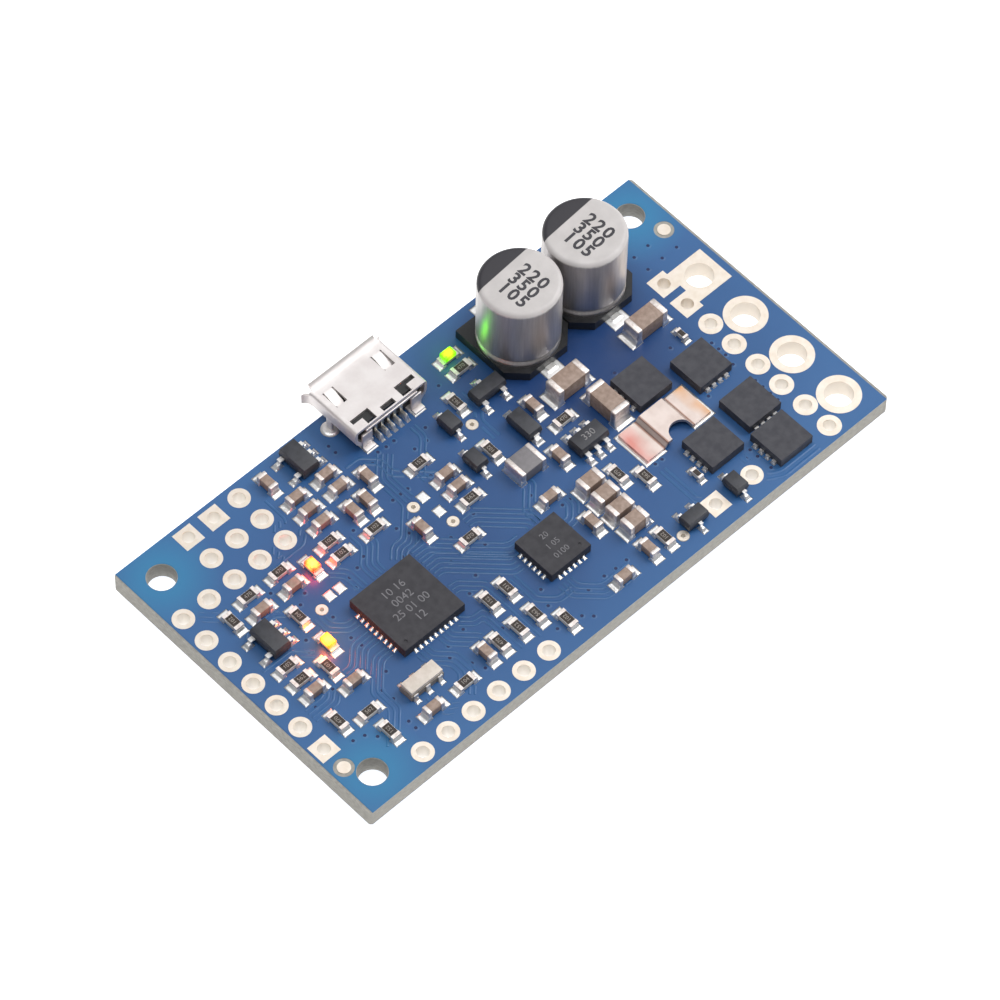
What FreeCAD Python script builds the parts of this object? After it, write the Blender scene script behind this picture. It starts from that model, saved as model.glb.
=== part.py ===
import FreeCAD, Part
import os
import re
import Sketcher
from FreeCAD import Placement, Rotation, Vector

# A small blue microcontroller board that drives motors.  +X runs along the long side from the logic headers
# to the power terminals, +Y across the board to the USB edge, +Z up from the underside.  The origin is the
# middle of the underside.  Lengths are millimetres.

SIZES = {
    # board and plated holes
    "pitch": 2.54,
    "board_length": 53.34,
    "board_width": 27.94,
    "board_thickness": 1.6,
    "board_corner": 0.3,
    "foil": 0.05,
    "plating": 0.05,
    "mounting_bore": 2.3,
    "header_bore": 1.02,
    "header_pad": 1.75,
    "output_pad": 1.9,
    "terminal_bore": 2.3,
    "terminal_pad": 3.5,
    "terminal_pitch": 5.0,
    "terminal_first": -1.2,
    "probe_bore": 0.35,
    "probe_pad": 0.92,
    "fiducial_disc": 1.05,
    "spare_land_length": 0.8,
    "spare_land_width": 0.85,
    # socket
    "socket_x": -2.54,
    "socket_mouth": 15.3,
    "socket_length": 5.6,
    "socket_width": 7.3,
    "socket_height": 2.5,
    "socket_sheet": 0.25,
    "socket_bevel_width": 0.95,
    "socket_bevel_height": 1.1,
    "socket_lip": 0.25,
    "socket_block": 1.5,
    "socket_tongue_width": 3.7,
    "socket_tongue": 0.6,
    "socket_foot_x": 2.35,
    "socket_foot_width": 0.7,
    "socket_foot_length": 0.9,
    "socket_foot_land": 1.1,
    "spring_x": 2.37,
    "spring_y": 13.2,
    "spring_half_width": 0.45,
    "spring_half_length": 0.85,
    "spring_gap": 0.12,
    "rear_notch_width": 1.25,
    "rear_notch_length": 1.2,
    "rear_slot_x": 2.4,
    "rear_slot_width": 1.1,
    "rear_slot_length": 0.5,
    "block_setback": 0.4,
    "tongue_setback": 0.9,
    "tongue_middle": 1.45,
    "socket_leg_y": 12.65,
    "socket_leg_width": 0.6,
    "socket_leg_bore": 0.85,
    "socket_leg_pad": 1.45,
    "contact_pitch": 0.65,
    "contact_width": 0.25,
    "contact_sheet": 0.12,
    "contact_strip": 3.9,
    "contact_toe": 0.75,
    "contact_height": 1.15,
    # electrolytic capacitors
    "can_diameter": 6.55,
    "can_top": 7.7,
    "can_wall": 0.25,
    "can_rim": 0.45,
    "bead_depth": 0.3,
    "bead_height": 1.1,
    "stand_width": 6.7,
    "stand_height": 0.9,
    "stand_floor": 0.35,
    "stand_corner": 1.4,
    "stand_lead": 3.75,
    "stand_lead_width": 0.7,
    "stand_lead_start": 0.6,
    "stand_lead_sheet": 0.15,
    "can_land_width": 1.75,
    "can_land_length": 3.0,
    "winding_gap": 0.15,
    "winding_lift": 0.1,
    "winding_headroom": 3.2,
    # no-lead packages
    "mcu_width": 6.0,
    "mcu_height": 0.9,
    "driver_width": 4.0,
    "driver_height": 0.9,
    "fine_pitch": 0.5,
    "fine_pin_width": 0.24,
    "fine_pin_length": 0.4,
    "fine_pin_height": 0.2,
    "fine_land_reach": 0.35,
    "slug_share": 0.6,
    "pin_dimple": 0.3,
    "mosfet_width": 3.3,
    "mosfet_height": 0.9,
    "mosfet_pitch": 0.65,
    "mosfet_foot_width": 0.35,
    "mosfet_foot_length": 0.6,
    "mosfet_foot_reach": 0.18,
    "mosfet_foot_height": 0.22,
    "drain_width": 2.3,
    "drain_length": 1.9,
    # current strap
    "strap_length": 6.6,
    "strap_width": 3.2,
    "strap_sheet": 0.3,
    "strap_rise": 0.4,
    "strap_foot": 1.75,
    "strap_slope": 0.35,
    "strap_notch": 1.05,
    "strap_notch_x": 0.3,
    "strap_margin": 0.2,
    # gull-wing leads
    "lead_sheet": 0.13,
    "lead_shoulder": 0.6,
    "lead_toe": 0.35,
    "gull_land": 0.8,
    # lamp resin
    "resin_length": 1.1,
    "resin_width": 0.78,
    "resin_height": 0.45,
    # resonator
    "resonator_length": 3.2,
    "resonator_width": 1.3,
    "resonator_plate_height": 0.55,
    "resonator_lid_height": 0.4,
    "resonator_step": 1.21,
    "resonator_wrap_width": 0.4,
    "resonator_land": 0.45,
    "lid_inset": 0.05,
    "seam": 0.05,
    # room round a part on its land, and the thickness of end metal
    "land_margin": 0.15,
    "skin": 0.03,
}

# Two-ended parts and parts with bent leads come in sizes.  Each size is named part_side in the sheet.
CHIP_SIDES = ("length", "width", "height", "cap", "span")
CHIPS = {
    "resistor": (1.6, 0.8, 0.45, 0.3, 2.55),
    "tiny_resistor": (1.0, 0.5, 0.45, 0.2, 1.7),
    "ceramic_capacitor_0603": (1.6, 0.8, 0.8, 0.35, 2.6),
    "ceramic_capacitor_0805": (2.0, 1.25, 1.25, 0.45, 2.8),
    "ceramic_capacitor_1206": (3.2, 1.6, 1.6, 0.55, 4.25),
    "inductor": (2.5, 2.0, 1.2, 0.45, 2.8),
    "led": (1.6, 0.8, 0.3, 0.3, 2.5),
}
PACKAGE_SIDES = ("length", "width", "height", "reach", "lead_width")
PACKAGES = {
    "five_lead": (2.9, 1.6, 1.1, 1.45, 0.4),
    "six_lead": (2.9, 1.6, 1.1, 1.45, 0.4),
    "transistor": (2.9, 1.3, 1.0, 1.25, 0.42),
    "small_transistor": (2.1, 1.25, 0.9, 1.1, 0.3),
    "small_diode": (1.25, 1.7, 0.95, 1.3, 0.35),
    "large_diode": (1.4, 2.6, 0.95, 1.65, 0.55),
}
for sides, table in ((CHIP_SIDES, CHIPS), (PACKAGE_SIDES, PACKAGES)):
    for part, numbers in table.items():
        SIZES.update({f"{part}_{side}": number for side, number in zip(sides, numbers)})

# Where things sit on the top face, as x, y.  Chip parts run along X or along Y.
RESISTORS_ALONG_X = [
    (-22.7, -0.75), (-22.7, -2.25), (-20.95, -7.65), (-14.1, -10.6), (-20.7, 5.7), (-17.6, 5.7),
    (-13.1, 5.15), (-13.15, 3.75), (-9.8, 3.75), (-3.45, 5.7), (-2.75, 0.8), (-5.2, -1.7),
    (4.8, 9.85), (7.2, 1.2),
]
RESISTORS_ALONG_Y = [
    (-20.5, -2.8), (-23.15, -6.7), (-20.95, -9.85), (-23.0, 4.85), (-19.15, 1.85), (-8.0, -6.75),
    (-6.25, -6.75), (-9.9, -9.85), (-8.0, -9.85), (-6.25, -9.85), (-4.87, -11.75), (2.35, 7.8),
    (1.3, 2.9), (6.75, -5.15), (8.15, -6.7), (5.4, -11.5),
]
TINY_RESISTORS_ALONG_Y = [(11.1, -9.15), (19.15, 0.7)]
CAPACITORS_ALONG_X = [
    (-22.65, -3.65), (-20.0, -5.0), (-17.35, -10.65), (-20.8, 4.1), (-17.65, 4.1), (-12.3, 9.65),
    (-9.3, 9.65), (-12.3, 8.2), (-9.3, 8.2), (-12.3, 6.75), (-2.7, 3.6), (-2.75, 2.2), (1.55, -3.2),
    (0.75, -12.0),
]
CAPACITORS_ALONG_Y = [
    (-12.95, 12.05), (-9.95, 5.9), (-8.55, 5.9), (-7.1, 7.4), (-7.25, 1.3), (6.35, 3.6), (4.7, -1.0),
    (2.35, -6.95), (3.8, -11.5), (-11.25, -9.85),
]
MEDIUM_CAPACITORS_ALONG_X = [(4.55, -4.45), (4.55, -6.03), (4.55, -7.61), (4.55, -9.18)]
LARGE_CAPACITORS_ALONG_X = [(9.55, 3.2), (17.7, 3.15)]
LARGE_CAPACITORS_ALONG_Y = [(10.45, -0.2)]
INDUCTOR = (2.2, 0.1)
LEDS = {"green": (4.8, 11.3, 0), "red": (-15.45, 4.4, 90), "yellow": (-19.1, -1.25, 90)}
SMALL_DIODES_ALONG_Y = [(0.6, 6.65), (-0.3, 2.9), (12.45, -11.85)]
LARGE_DIODES_ALONG_Y = [(4.6, 2.75)]
TRANSISTOR = (4.75, 6.95)
SMALL_TRANSISTOR = (8.1, -11.85)
FIVE_LEAD_CHIPS = [(-22.15, 1.7), (-9.9, 11.9)]
SIX_LEAD_CHIP = (7.2, -1.5)
MICROCONTROLLER = (-12.75, -2.95)
GATE_DRIVER = (-1.35, -6.55)
MOSFETS = [(13.6, -0.6, 270), (18.1, -2.45, 0), (18.3, -7.5, 0), (13.7, -8.2, 270), (17.9, -11.25, 270)]
CURRENT_STRAP = (12.5, -4.26)
RESONATOR = (-16.4, -8.4)
CANS = [(9.9, 8.95), (16.7, 8.95)]
PROBES = [(-17.4, 1.28), (-6.3, 3.26), (-5.0, 0.33), (2.0, 5.67), (6.62, -12.26)]
FIDUCIALS = [(-25.4, -9.75), (25.15, 8.72)]
SPARE_LANDS = [(-16.15, 1.78), (-15.15, 1.78), (-5.17, 3.43), (-5.13, 1.7)]
SWITCH_SQUARE = (10.38, -11.9)
SWITCH_ROUND = (14.19, -11.9)

# Where the plated holes sit, in steps of the header pitch from the middle of the board.
MOUNTING = [(-9.5, 4.5), (-9.5, -4.5), (9.5, 4.5)]
LOGIC_ROUND = [(-10, row) for row in range(-2, 4)] + [(step, 3) for step in range(-9, -5)]
LOGIC_ROUND += [(step, 4) for step in range(-8, -5)] + [(-6, 5)]
LOGIC_SQUARE = [(-10, -3), (-8, 5), (-7, 5)]
LOWER_ROW = [(step, -5) for step in range(-8, -2)]
OUTPUTS = [(8.5, row) for row in range(-5, 1)]
SUPPLY_SMALL = [(8.5, 1), (8.5, 2)]

doc = FreeCAD.newDocument("MotorController")
sheet = doc.addObject("Spreadsheet::Sheet", "Sizes")
for row, (alias, size) in enumerate(SIZES.items(), 1):
    sheet.set(f"A{row}", alias)
    sheet.set(f"B{row}", str(size))
    sheet.setAlias(f"B{row}", alias)
doc.recompute()
nodes = []


# ---- small helpers ----

def formula(text):
    """An expression over the sheet's names."""
    return re.sub(r"[a-z]\w+", lambda word: "Sizes." + word.group(), str(text))


def value(text):
    return float(sheet.evalExpression(formula(text)))


def bind(item, **formulas):
    for name, text in formulas.items():
        item.setExpression(name.replace("__", "."), formula(text))


def move(item, x="0", y="0", z="0"):
    bind(item, Placement__Base__x=x, Placement__Base__y=y, Placement__Base__z=z)


def node(item, label):
    """Marks a finished sub-part."""
    item.Label = label
    nodes.append(item)
    return item


def block(name, length, width, height, x="0", y="0", z="0"):
    """A box centred on x, y that stands on z."""
    item = doc.addObject("Part::Box", name)
    bind(item, Length=length, Width=width, Height=height)
    move(item, f"{x} - ({length}) / 2", f"{y} - ({width}) / 2", z)
    return item


def rod(name, diameter, height, x="0", y="0", z="0"):
    """An upright cylinder that stands on z."""
    item = doc.addObject("Part::Cylinder", name)
    bind(item, Radius=f"({diameter}) / 2", Height=height)
    move(item, x, y, z)
    return item


def fuse(name, *shapes):
    item = doc.addObject("Part::MultiFuse", name)
    item.Shapes = list(shapes)
    item.Refine = True
    return item


def gather(name, *shapes):
    item = doc.addObject("Part::Compound", name)
    item.Links = list(shapes)
    return item


def cut(name, base, tool):
    item = doc.addObject("Part::Cut", name)
    item.Base = base
    item.Tool = tool
    return item


def spot(x, y, turn=0):
    """A place on a face, turned about +Z."""
    return Placement(Vector(x, y, 0), Rotation(Vector(0, 0, 1), turn))


def spots(along_x, along_y=()):
    return [spot(x, y) for x, y in along_x] + [spot(x, y, 90) for x, y in along_y]


def copies(label, pieces, seat="board_thickness"):
    """A sub-part made of placed copies of templates, each copy a solid of its own, all standing on seat."""
    links = []
    for number, (template, place) in enumerate(pieces, 1):
        link = doc.addObject("App::Link", f"{label}_{number}")
        link.LinkedObject = template
        link.Placement = place
        bind(link, Placement__Base__z=seat)
        links.append(link)
    return node(gather(label, *links), label)


def at(template, places):
    return [(template, place) for place in places]


def sketch(body, name, plane="XY_Plane", height="0"):
    """A sketch on one of the body's own origin planes, raised along the plane's normal."""
    item = body.newObject("Sketcher::SketchObject", name)
    face = [feature for feature in body.Origin.OriginFeatures if feature.Role == plane][0]
    item.AttachmentSupport = [(face, "")]
    item.MapMode = "FlatFace"
    bind(item, AttachmentOffset__Base__z=height)
    return item


def dimension(item, kind, geometry, point, text):
    """Ties a point of the sketch, or a radius, to the sheet."""
    number = value(text)
    if kind == "Radius":
        index = item.addConstraint(Sketcher.Constraint(kind, geometry, number))
    else:
        index = item.addConstraint(Sketcher.Constraint(kind, -1, 1, geometry, point, number))
    item.setExpression(f"Constraints[{index}]", formula(text))


def outline(item, points):
    """A closed polygon through points, each an x and y formula."""
    first = item.GeometryCount
    corners = [Vector(value(x), value(y), 0) for x, y in points]
    for start, end in zip(corners, corners[1:] + corners[:1]):
        item.addGeometry(Part.LineSegment(start, end))
    for number, (x, y) in enumerate(points):
        before = first + (number - 1) % len(points)
        item.addConstraint(Sketcher.Constraint("Coincident", before, 2, first + number, 1))
        dimension(item, "DistanceX", first + number, 1, x)
        dimension(item, "DistanceY", first + number, 1, y)


def rectangle(item, length, width, x="0", y="0"):
    left, right = f"{x} - ({length}) / 2", f"{x} + ({length}) / 2"
    low, high = f"{y} - ({width}) / 2", f"{y} + ({width}) / 2"
    outline(item, [(left, low), (right, low), (right, high), (left, high)])


def circle(item, diameter, x="0", y="0"):
    middle = Vector(value(x), value(y), 0)
    number = item.addGeometry(Part.Circle(middle, Vector(0, 0, 1), value(diameter) / 2))
    dimension(item, "Radius", number, None, f"({diameter}) / 2")
    dimension(item, "DistanceX", number, 3, x)
    dimension(item, "DistanceY", number, 3, y)


def pad(body, profile, length):
    item = body.newObject("PartDesign::Pad", profile.Name + "_pad")
    item.Profile = profile
    bind(item, Length=length)
    return item


def pocket(body, profile, depth=None, upwards=True):
    """Cuts a sketch away from its plane, upwards unless told otherwise; without a depth, through all."""
    doc.recompute()
    before = body.Shape.Volume
    item = body.newObject("PartDesign::Pocket", profile.Name + "_pocket")
    item.Profile = profile
    item.Reversed = upwards
    if depth is None:
        item.Type = "ThroughAll"
    else:
        bind(item, Length=depth)
    doc.recompute()
    if body.Shape.Volume >= before:
        raise RuntimeError(f"{profile.Name} cuts nothing")
    return item


# ---- board and plated holes ----

def steps(places):
    """Formulas for places given in header pitches."""
    return [(f"{x} * pitch", f"{y} * pitch") for x, y in places]


def terminal_place(number):
    """The terminals stand in a line at their own pitch; number 0 is the supply block."""
    return "9.5 * pitch", f"terminal_first + {1 - number} * terminal_pitch"


def supply_outline():
    """The square supply land and its two fingers, which reach the two small supply holes."""
    x, y = terminal_place(0)
    left, right = f"{x} - terminal_pad / 2", f"{x} + terminal_pad / 2"
    low, high = f"{y} - terminal_pad / 2", f"{y} + terminal_pad / 2"
    tip = "8.5 * pitch - output_pad / 2"
    (_, lower), (_, upper) = steps(SUPPLY_SMALL)
    half = "output_pad / 2"
    return [
        (left, low), (right, low), (right, high), (left, high), (left, f"{upper} + {half}"),
        (tip, f"{upper} + {half}"), (tip, f"{upper} - {half}"), (left, f"{upper} - {half}"),
        (left, f"{lower} + {half}"), (tip, f"{lower} + {half}"), (tip, f"{lower} - {half}"),
        (left, f"{lower} - {half}"),
    ]


def socket_legs():
    """Where the shell's two legs go through the board."""
    return [(f"socket_x + {side} * (socket_width - socket_sheet) / 2", "socket_leg_y") for side in (-1, 1)]


def plain(places):
    return [(str(x), str(y)) for x, y in places]


PLATED = [
    # name, bore, land, round places, square places
    ("logic", "header_bore", "header_pad", steps(LOGIC_ROUND + LOWER_ROW) + plain([SWITCH_ROUND]),
     steps(LOGIC_SQUARE) + plain([SWITCH_SQUARE])),
    ("output", "header_bore", "output_pad", steps(OUTPUTS), []),
    ("terminal", "terminal_bore", "terminal_pad", [terminal_place(number) for number in (1, 2, 3)], []),
    ("probe", "probe_bore", "probe_pad", plain(PROBES), []),
    ("leg", "socket_leg_bore", "socket_leg_pad", socket_legs(), []),
]


def circuit_board():
    """Glass-epoxy board.  Each plated hole is drilled for its barrel and let in for the land below."""
    body = doc.addObject("PartDesign::Body", "circuit_board")
    blank = sketch(body, "board_outline")
    rectangle(blank, "board_length", "board_width")
    slab = pad(body, blank, "board_thickness")
    doc.recompute()
    upright = [f"Edge{n}" for n, edge in enumerate(slab.Shape.Edges, 1) if edge.tangentAt(0).z ** 2 > 0.5]
    corners = body.newObject("PartDesign::Fillet", "board_corners")
    corners.Base = (slab, upright)
    bind(corners, Radius="board_corner")
    mounting = sketch(body, "mounting_holes")
    for x, y in steps(MOUNTING):
        circle(mounting, "mounting_bore", x, y)
    pocket(body, mounting)
    for name, bore, land, rounds, squares in PLATED:
        drill = sketch(body, f"{name}_drill")
        for x, y in rounds + squares:
            circle(drill, f"{bore} + 2 * plating", x, y)
        pocket(body, drill)
        recess = sketch(body, f"{name}_recess")
        for x, y in rounds:
            circle(recess, land, x, y)
        for x, y in squares:
            rectangle(recess, land, land, x, y)
        pocket(body, recess, "foil")
    drill = sketch(body, "supply_drill")
    circle(drill, "terminal_bore + 2 * plating", *terminal_place(0))
    for x, y in steps(SUPPLY_SMALL):
        circle(drill, "header_bore + 2 * plating", x, y)
    pocket(body, drill)
    recess = sketch(body, "supply_recess")
    outline(recess, supply_outline())
    pocket(body, recess, "foil")
    node(body, "circuit_board")


def plated_hole(name, bore, land, square=False):
    """Template: a land above and below, joined by a barrel.  Its underside is flush with the board's."""
    shape = block if square else rod
    size = (land, land) if square else (land,)
    above = shape(f"{name}_above", *size, "foil", z="board_thickness")
    below = shape(f"{name}_below", *size, "foil")
    barrel = rod(f"{name}_barrel", f"{bore} + 2 * plating", "board_thickness + foil")
    whole = fuse(f"{name}_blank", above, below, barrel)
    return cut(f"{name}_hole", whole, rod(f"{name}_bore", bore, "board_thickness + foil"))


def placed(template, places):
    """Copies of a template at places given as formulas."""
    return [(template, spot(value(x), value(y))) for x, y in places]


def plated_lands():
    round_pad = plated_hole("header_round", "header_bore", "header_pad")
    square_pad = plated_hole("header_square", "header_bore", "header_pad", square=True)
    output = plated_hole("output", "header_bore", "output_pad")
    terminal = plated_hole("terminal", "terminal_bore", "terminal_pad")
    probe = plated_hole("probe", "probe_bore", "probe_pad")
    leg = plated_hole("socket_leg", "socket_leg_bore", "socket_leg_pad")
    header = placed(round_pad, steps(LOGIC_ROUND + LOWER_ROW)) + placed(square_pad, steps(LOGIC_SQUARE))
    copies("header_pads", header, seat="0")
    switch = placed(square_pad, plain([SWITCH_SQUARE])) + placed(round_pad, plain([SWITCH_ROUND]))
    copies("switch_pads", switch, seat="0")
    copies("motor_output_pads", placed(output, steps(OUTPUTS)), seat="0")
    places = [terminal_place(number) for number in (1, 2, 3)]
    copies("power_terminal_pads", placed(terminal, places), seat="0")
    copies("test_points", placed(probe, plain(PROBES)), seat="0")
    copies("usb_leg_pads", placed(leg, socket_legs()), seat="0")


def supply_terminal_pad():
    """One large land round the supply hole, with fingers to two small holes, above and below the board."""
    body = doc.addObject("PartDesign::Body", "supply_terminal_pad")
    below = sketch(body, "supply_below")
    outline(below, supply_outline())
    pad(body, below, "foil")
    barrels = sketch(body, "supply_barrels")
    circle(barrels, "terminal_bore + 2 * plating", *terminal_place(0))
    for x, y in steps(SUPPLY_SMALL):
        circle(barrels, "header_bore + 2 * plating", x, y)
    pad(body, barrels, "board_thickness")
    above = sketch(body, "supply_above", height="board_thickness")
    outline(above, supply_outline())
    pad(body, above, "foil")
    bores = sketch(body, "supply_bores")
    circle(bores, "terminal_bore", *terminal_place(0))
    for x, y in steps(SUPPLY_SMALL):
        circle(bores, "header_bore", x, y)
    pocket(body, bores)
    node(body, "supply_terminal_pad")


def flat_lands():
    disc = gather("fiducial", rod("fiducial_copper", "fiducial_disc", "foil"))
    copies("fiducial_pads", at(disc, spots(FIDUCIALS)))
    tinned = gather("spare_land", block("spare_land_tin", "spare_land_length", "spare_land_width", "foil"))
    copies("spare_lands", at(tinned, spots(SPARE_LANDS)))


# ---- two-ended chips ----

def both_ways(places):
    """Each place, and the same place turned half round."""
    return [place * spot(0, 0, turn) for place in places for turn in (0, 180)]


def chip_land(name):
    """Template: the tinned land under one end, from the end's metal out to half of the span."""
    inner = f"({name}_length / 2 - {name}_cap)"
    tin = block(f"{name}_tin", f"{name}_span / 2 - {inner}", f"{name}_width + land_margin", "foil",
                x=f"({name}_span / 2 + {inner}) / 2")
    return gather(f"{name}_land", tin)


def core_block(name, label):
    """The inside of a chip, a skin smaller than its metal ends all round."""
    return block(label, f"{name}_length - 2 * skin", f"{name}_width - 2 * skin", f"{name}_height - 2 * skin",
                 z="foil + skin")


def end_cap(name):
    """Template: a metal cap round one end of a chip, which stands on its land.  It fits over the core."""
    outer = block(f"{name}_wrap_outer", f"{name}_cap", f"{name}_width", f"{name}_height",
                  x=f"{name}_length / 2 - {name}_cap / 2", z="foil")
    return cut(f"{name}_wrap", outer, core_block(name, f"{name}_wrap_core"))


def chip_core(name):
    return gather(f"{name}_core", core_block(name, f"{name}_block"))


def resistors():
    """Thick-film chips: a ceramic plate, a dark coat on its top face and a metal wrap round each end."""
    plates, coats, caps, lands = [], [], [], []
    for name, places in (("resistor", spots(RESISTORS_ALONG_X, RESISTORS_ALONG_Y)),
                         ("tiny_resistor", spots([], TINY_RESISTORS_ALONG_Y))):
        plates += at(chip_core(name), places)
        coat = block(f"{name}_film", f"{name}_length - 2 * {name}_cap", f"{name}_width - 4 * skin", "skin",
                     z=f"foil + {name}_height - skin")
        coats += at(gather(f"{name}_coat", coat), places)
        caps += at(end_cap(name), both_ways(places))
        lands += at(chip_land(name), both_ways(places))
    copies("resistor_plates", plates)
    copies("resistor_coats", coats)
    copies("resistor_terminations", caps)
    copies("resistor_lands", lands)


def ceramic_capacitors():
    """Ceramic blocks in three sizes and one chip inductor, each between two metal caps."""
    lands = []
    groups = {
        "ceramic_capacitor_0603": spots(CAPACITORS_ALONG_X, CAPACITORS_ALONG_Y),
        "ceramic_capacitor_0805": spots(MEDIUM_CAPACITORS_ALONG_X),
        "ceramic_capacitor_1206": spots(LARGE_CAPACITORS_ALONG_X, LARGE_CAPACITORS_ALONG_Y),
        "inductor": spots([INDUCTOR]),
    }
    for name, places in groups.items():
        copies(f"{name}_bodies", at(chip_core(name), places))
        copies(f"{name}_terminations", at(end_cap(name), both_ways(places)))
        lands += at(chip_land(name), both_ways(places))
    copies("capacitor_lands", lands)


def light_emitting_diodes():
    """Indicator lamps: a thin base with metal ends and a clear block of resin on top."""
    resin = gather("led_resin", block("led_resin_block", "resin_length", "resin_width", "resin_height",
                                      z="foil + led_height"))
    places = [spot(*place) for place in LEDS.values()]
    copies("led_bases", at(chip_core("led"), places))
    copies("led_terminations", at(end_cap("led"), both_ways(places)))
    for colour, place in LEDS.items():
        copies(f"led_{colour}_lens", [(resin, spot(*place))])
    return at(chip_land("led"), both_ways(places))


# ---- packages with gull-wing leads ----

def gull_lead(name, width, half_body, reach):
    """Template: one lead that leaves the body along +Y at shoulder height, drops and ends in a toe."""
    riser = f"{reach} - lead_toe"
    shoulder = block(f"{name}_shoulder", width, f"{riser} - {half_body} + lead_sheet", "lead_sheet",
                     y=f"({riser} + {half_body} + lead_sheet) / 2", z="foil + lead_shoulder - lead_sheet")
    drop = block(f"{name}_drop", width, "lead_sheet", "lead_shoulder", y=f"{riser} + lead_sheet / 2",
                 z="foil")
    toe = block(f"{name}_toe", width, "lead_toe", "lead_sheet", y=f"{reach} - lead_toe / 2", z="foil")
    return fuse(name, shoulder, drop, toe)


def leaded_package(name, above, below, places):
    """Pieces of a moulded package.  above and below give where the leads of its +Y and -Y sides stand."""
    resin = block(f"{name}_resin", f"{name}_length", f"{name}_width", f"{name}_height", z="foil + lead_sheet")
    lead = gull_lead(f"{name}_lead", f"{name}_lead_width", f"{name}_width / 2", f"{name}_reach")
    tin = block(f"{name}_tin", f"{name}_lead_width + land_margin + foil", "gull_land", "foil",
                y=f"{name}_reach - 2 * foil")
    each = [place * spot(x, 0) for place in places for x in above]
    each += [place * spot(x, 0, 180) for place in places for x in below]
    return at(gather(f"{name}_mould", resin), places), at(lead, each), at(gather(f"{name}_land", tin), each)


def small_outline_parts():
    """Transistors, diodes and small chips with bent leads."""
    pair, triple, single = (-0.95, 0.95), (-0.95, 0, 0.95), (0,)
    parts = [
        ("five_lead_chip_bodies", ("five_lead", pair, triple, spots([], FIVE_LEAD_CHIPS))),
        ("six_lead_chip_body", ("six_lead", triple, triple, spots([SIX_LEAD_CHIP]))),
        ("transistor_body", ("transistor", single, pair, spots([TRANSISTOR]))),
        ("small_transistor_body",
         ("small_transistor", single, (-0.65, 0.65), [spot(*SMALL_TRANSISTOR, 180)])),
        ("diode_bodies", ("small_diode", single, single, spots(SMALL_DIODES_ALONG_Y))),
        ("diode_bodies", ("large_diode", single, single, spots(LARGE_DIODES_ALONG_Y))),
    ]
    bodies, leads, lands = {}, [], []
    for label, package in parts:
        moulds, feet, tins = leaded_package(*package)
        bodies.setdefault(label, []).extend(moulds)
        leads += feet
        lands += tins
    for label, moulds in bodies.items():
        copies(label, moulds)
    copies("small_outline_leads", leads)
    return lands


# ---- no-lead packages ----

def around(count, pitch):
    """Places for the pins of all four sides, each side's pins along its own X with +Y outwards."""
    return [spot(0, 0, side) * spot((number - (count - 1) / 2) * value(pitch), 0)
            for side in (0, 90, 180, 270) for number in range(count)]


def no_lead_chip(label, width, height, count, dimple_side, place):
    """A square moulded chip whose pins are flush with its sides, with a thermal land in the middle below."""
    pin = gather(f"{label}_pin", block(f"{label}_pin_metal", "fine_pin_width", "fine_pin_length",
                                       "fine_pin_height", y=f"{width} / 2 - fine_pin_length / 2", z="foil"))
    slug_width = f"{width} * slug_share"
    slug = gather(f"{label}_slug", block(f"{label}_slug_metal", slug_width, slug_width, "fine_pin_height",
                                         z="foil"))
    tin = block(f"{label}_tin", "fine_pin_width + skin", "fine_pin_length + fine_land_reach", "foil",
                y=f"{width} / 2 - fine_pin_length / 2 + 2 * foil")
    land = gather(f"{label}_land", tin)
    middle = gather(f"{label}_middle", block(f"{label}_middle_tin", slug_width, slug_width, "foil"))
    pins = around(count, "fine_pitch")
    metal = [(pin, place * side) for side in pins] + [(slug, place)]
    terminals = copies(f"{label}_terminals", metal)
    mould = block(f"{label}_mould", width, width, height, z="board_thickness + foil",
                  x=place.Base.x, y=place.Base.y)
    corner = f"{width} / 2 - 2 * pin_dimple"
    dimple = rod(f"{label}_dimple", "pin_dimple", "pin_dimple",
                 x=f"{place.Base.x} + {dimple_side} * ({corner})", y=f"{place.Base.y} - ({corner})",
                 z=f"board_thickness + foil + {height} - pin_dimple / 4")
    marked = cut(f"{label}_marked", mould, dimple)
    node(cut(f"{label}_body", marked, terminals), f"{label}_body")
    return [(land, place * side) for side in pins] + [(middle, place)]


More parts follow.
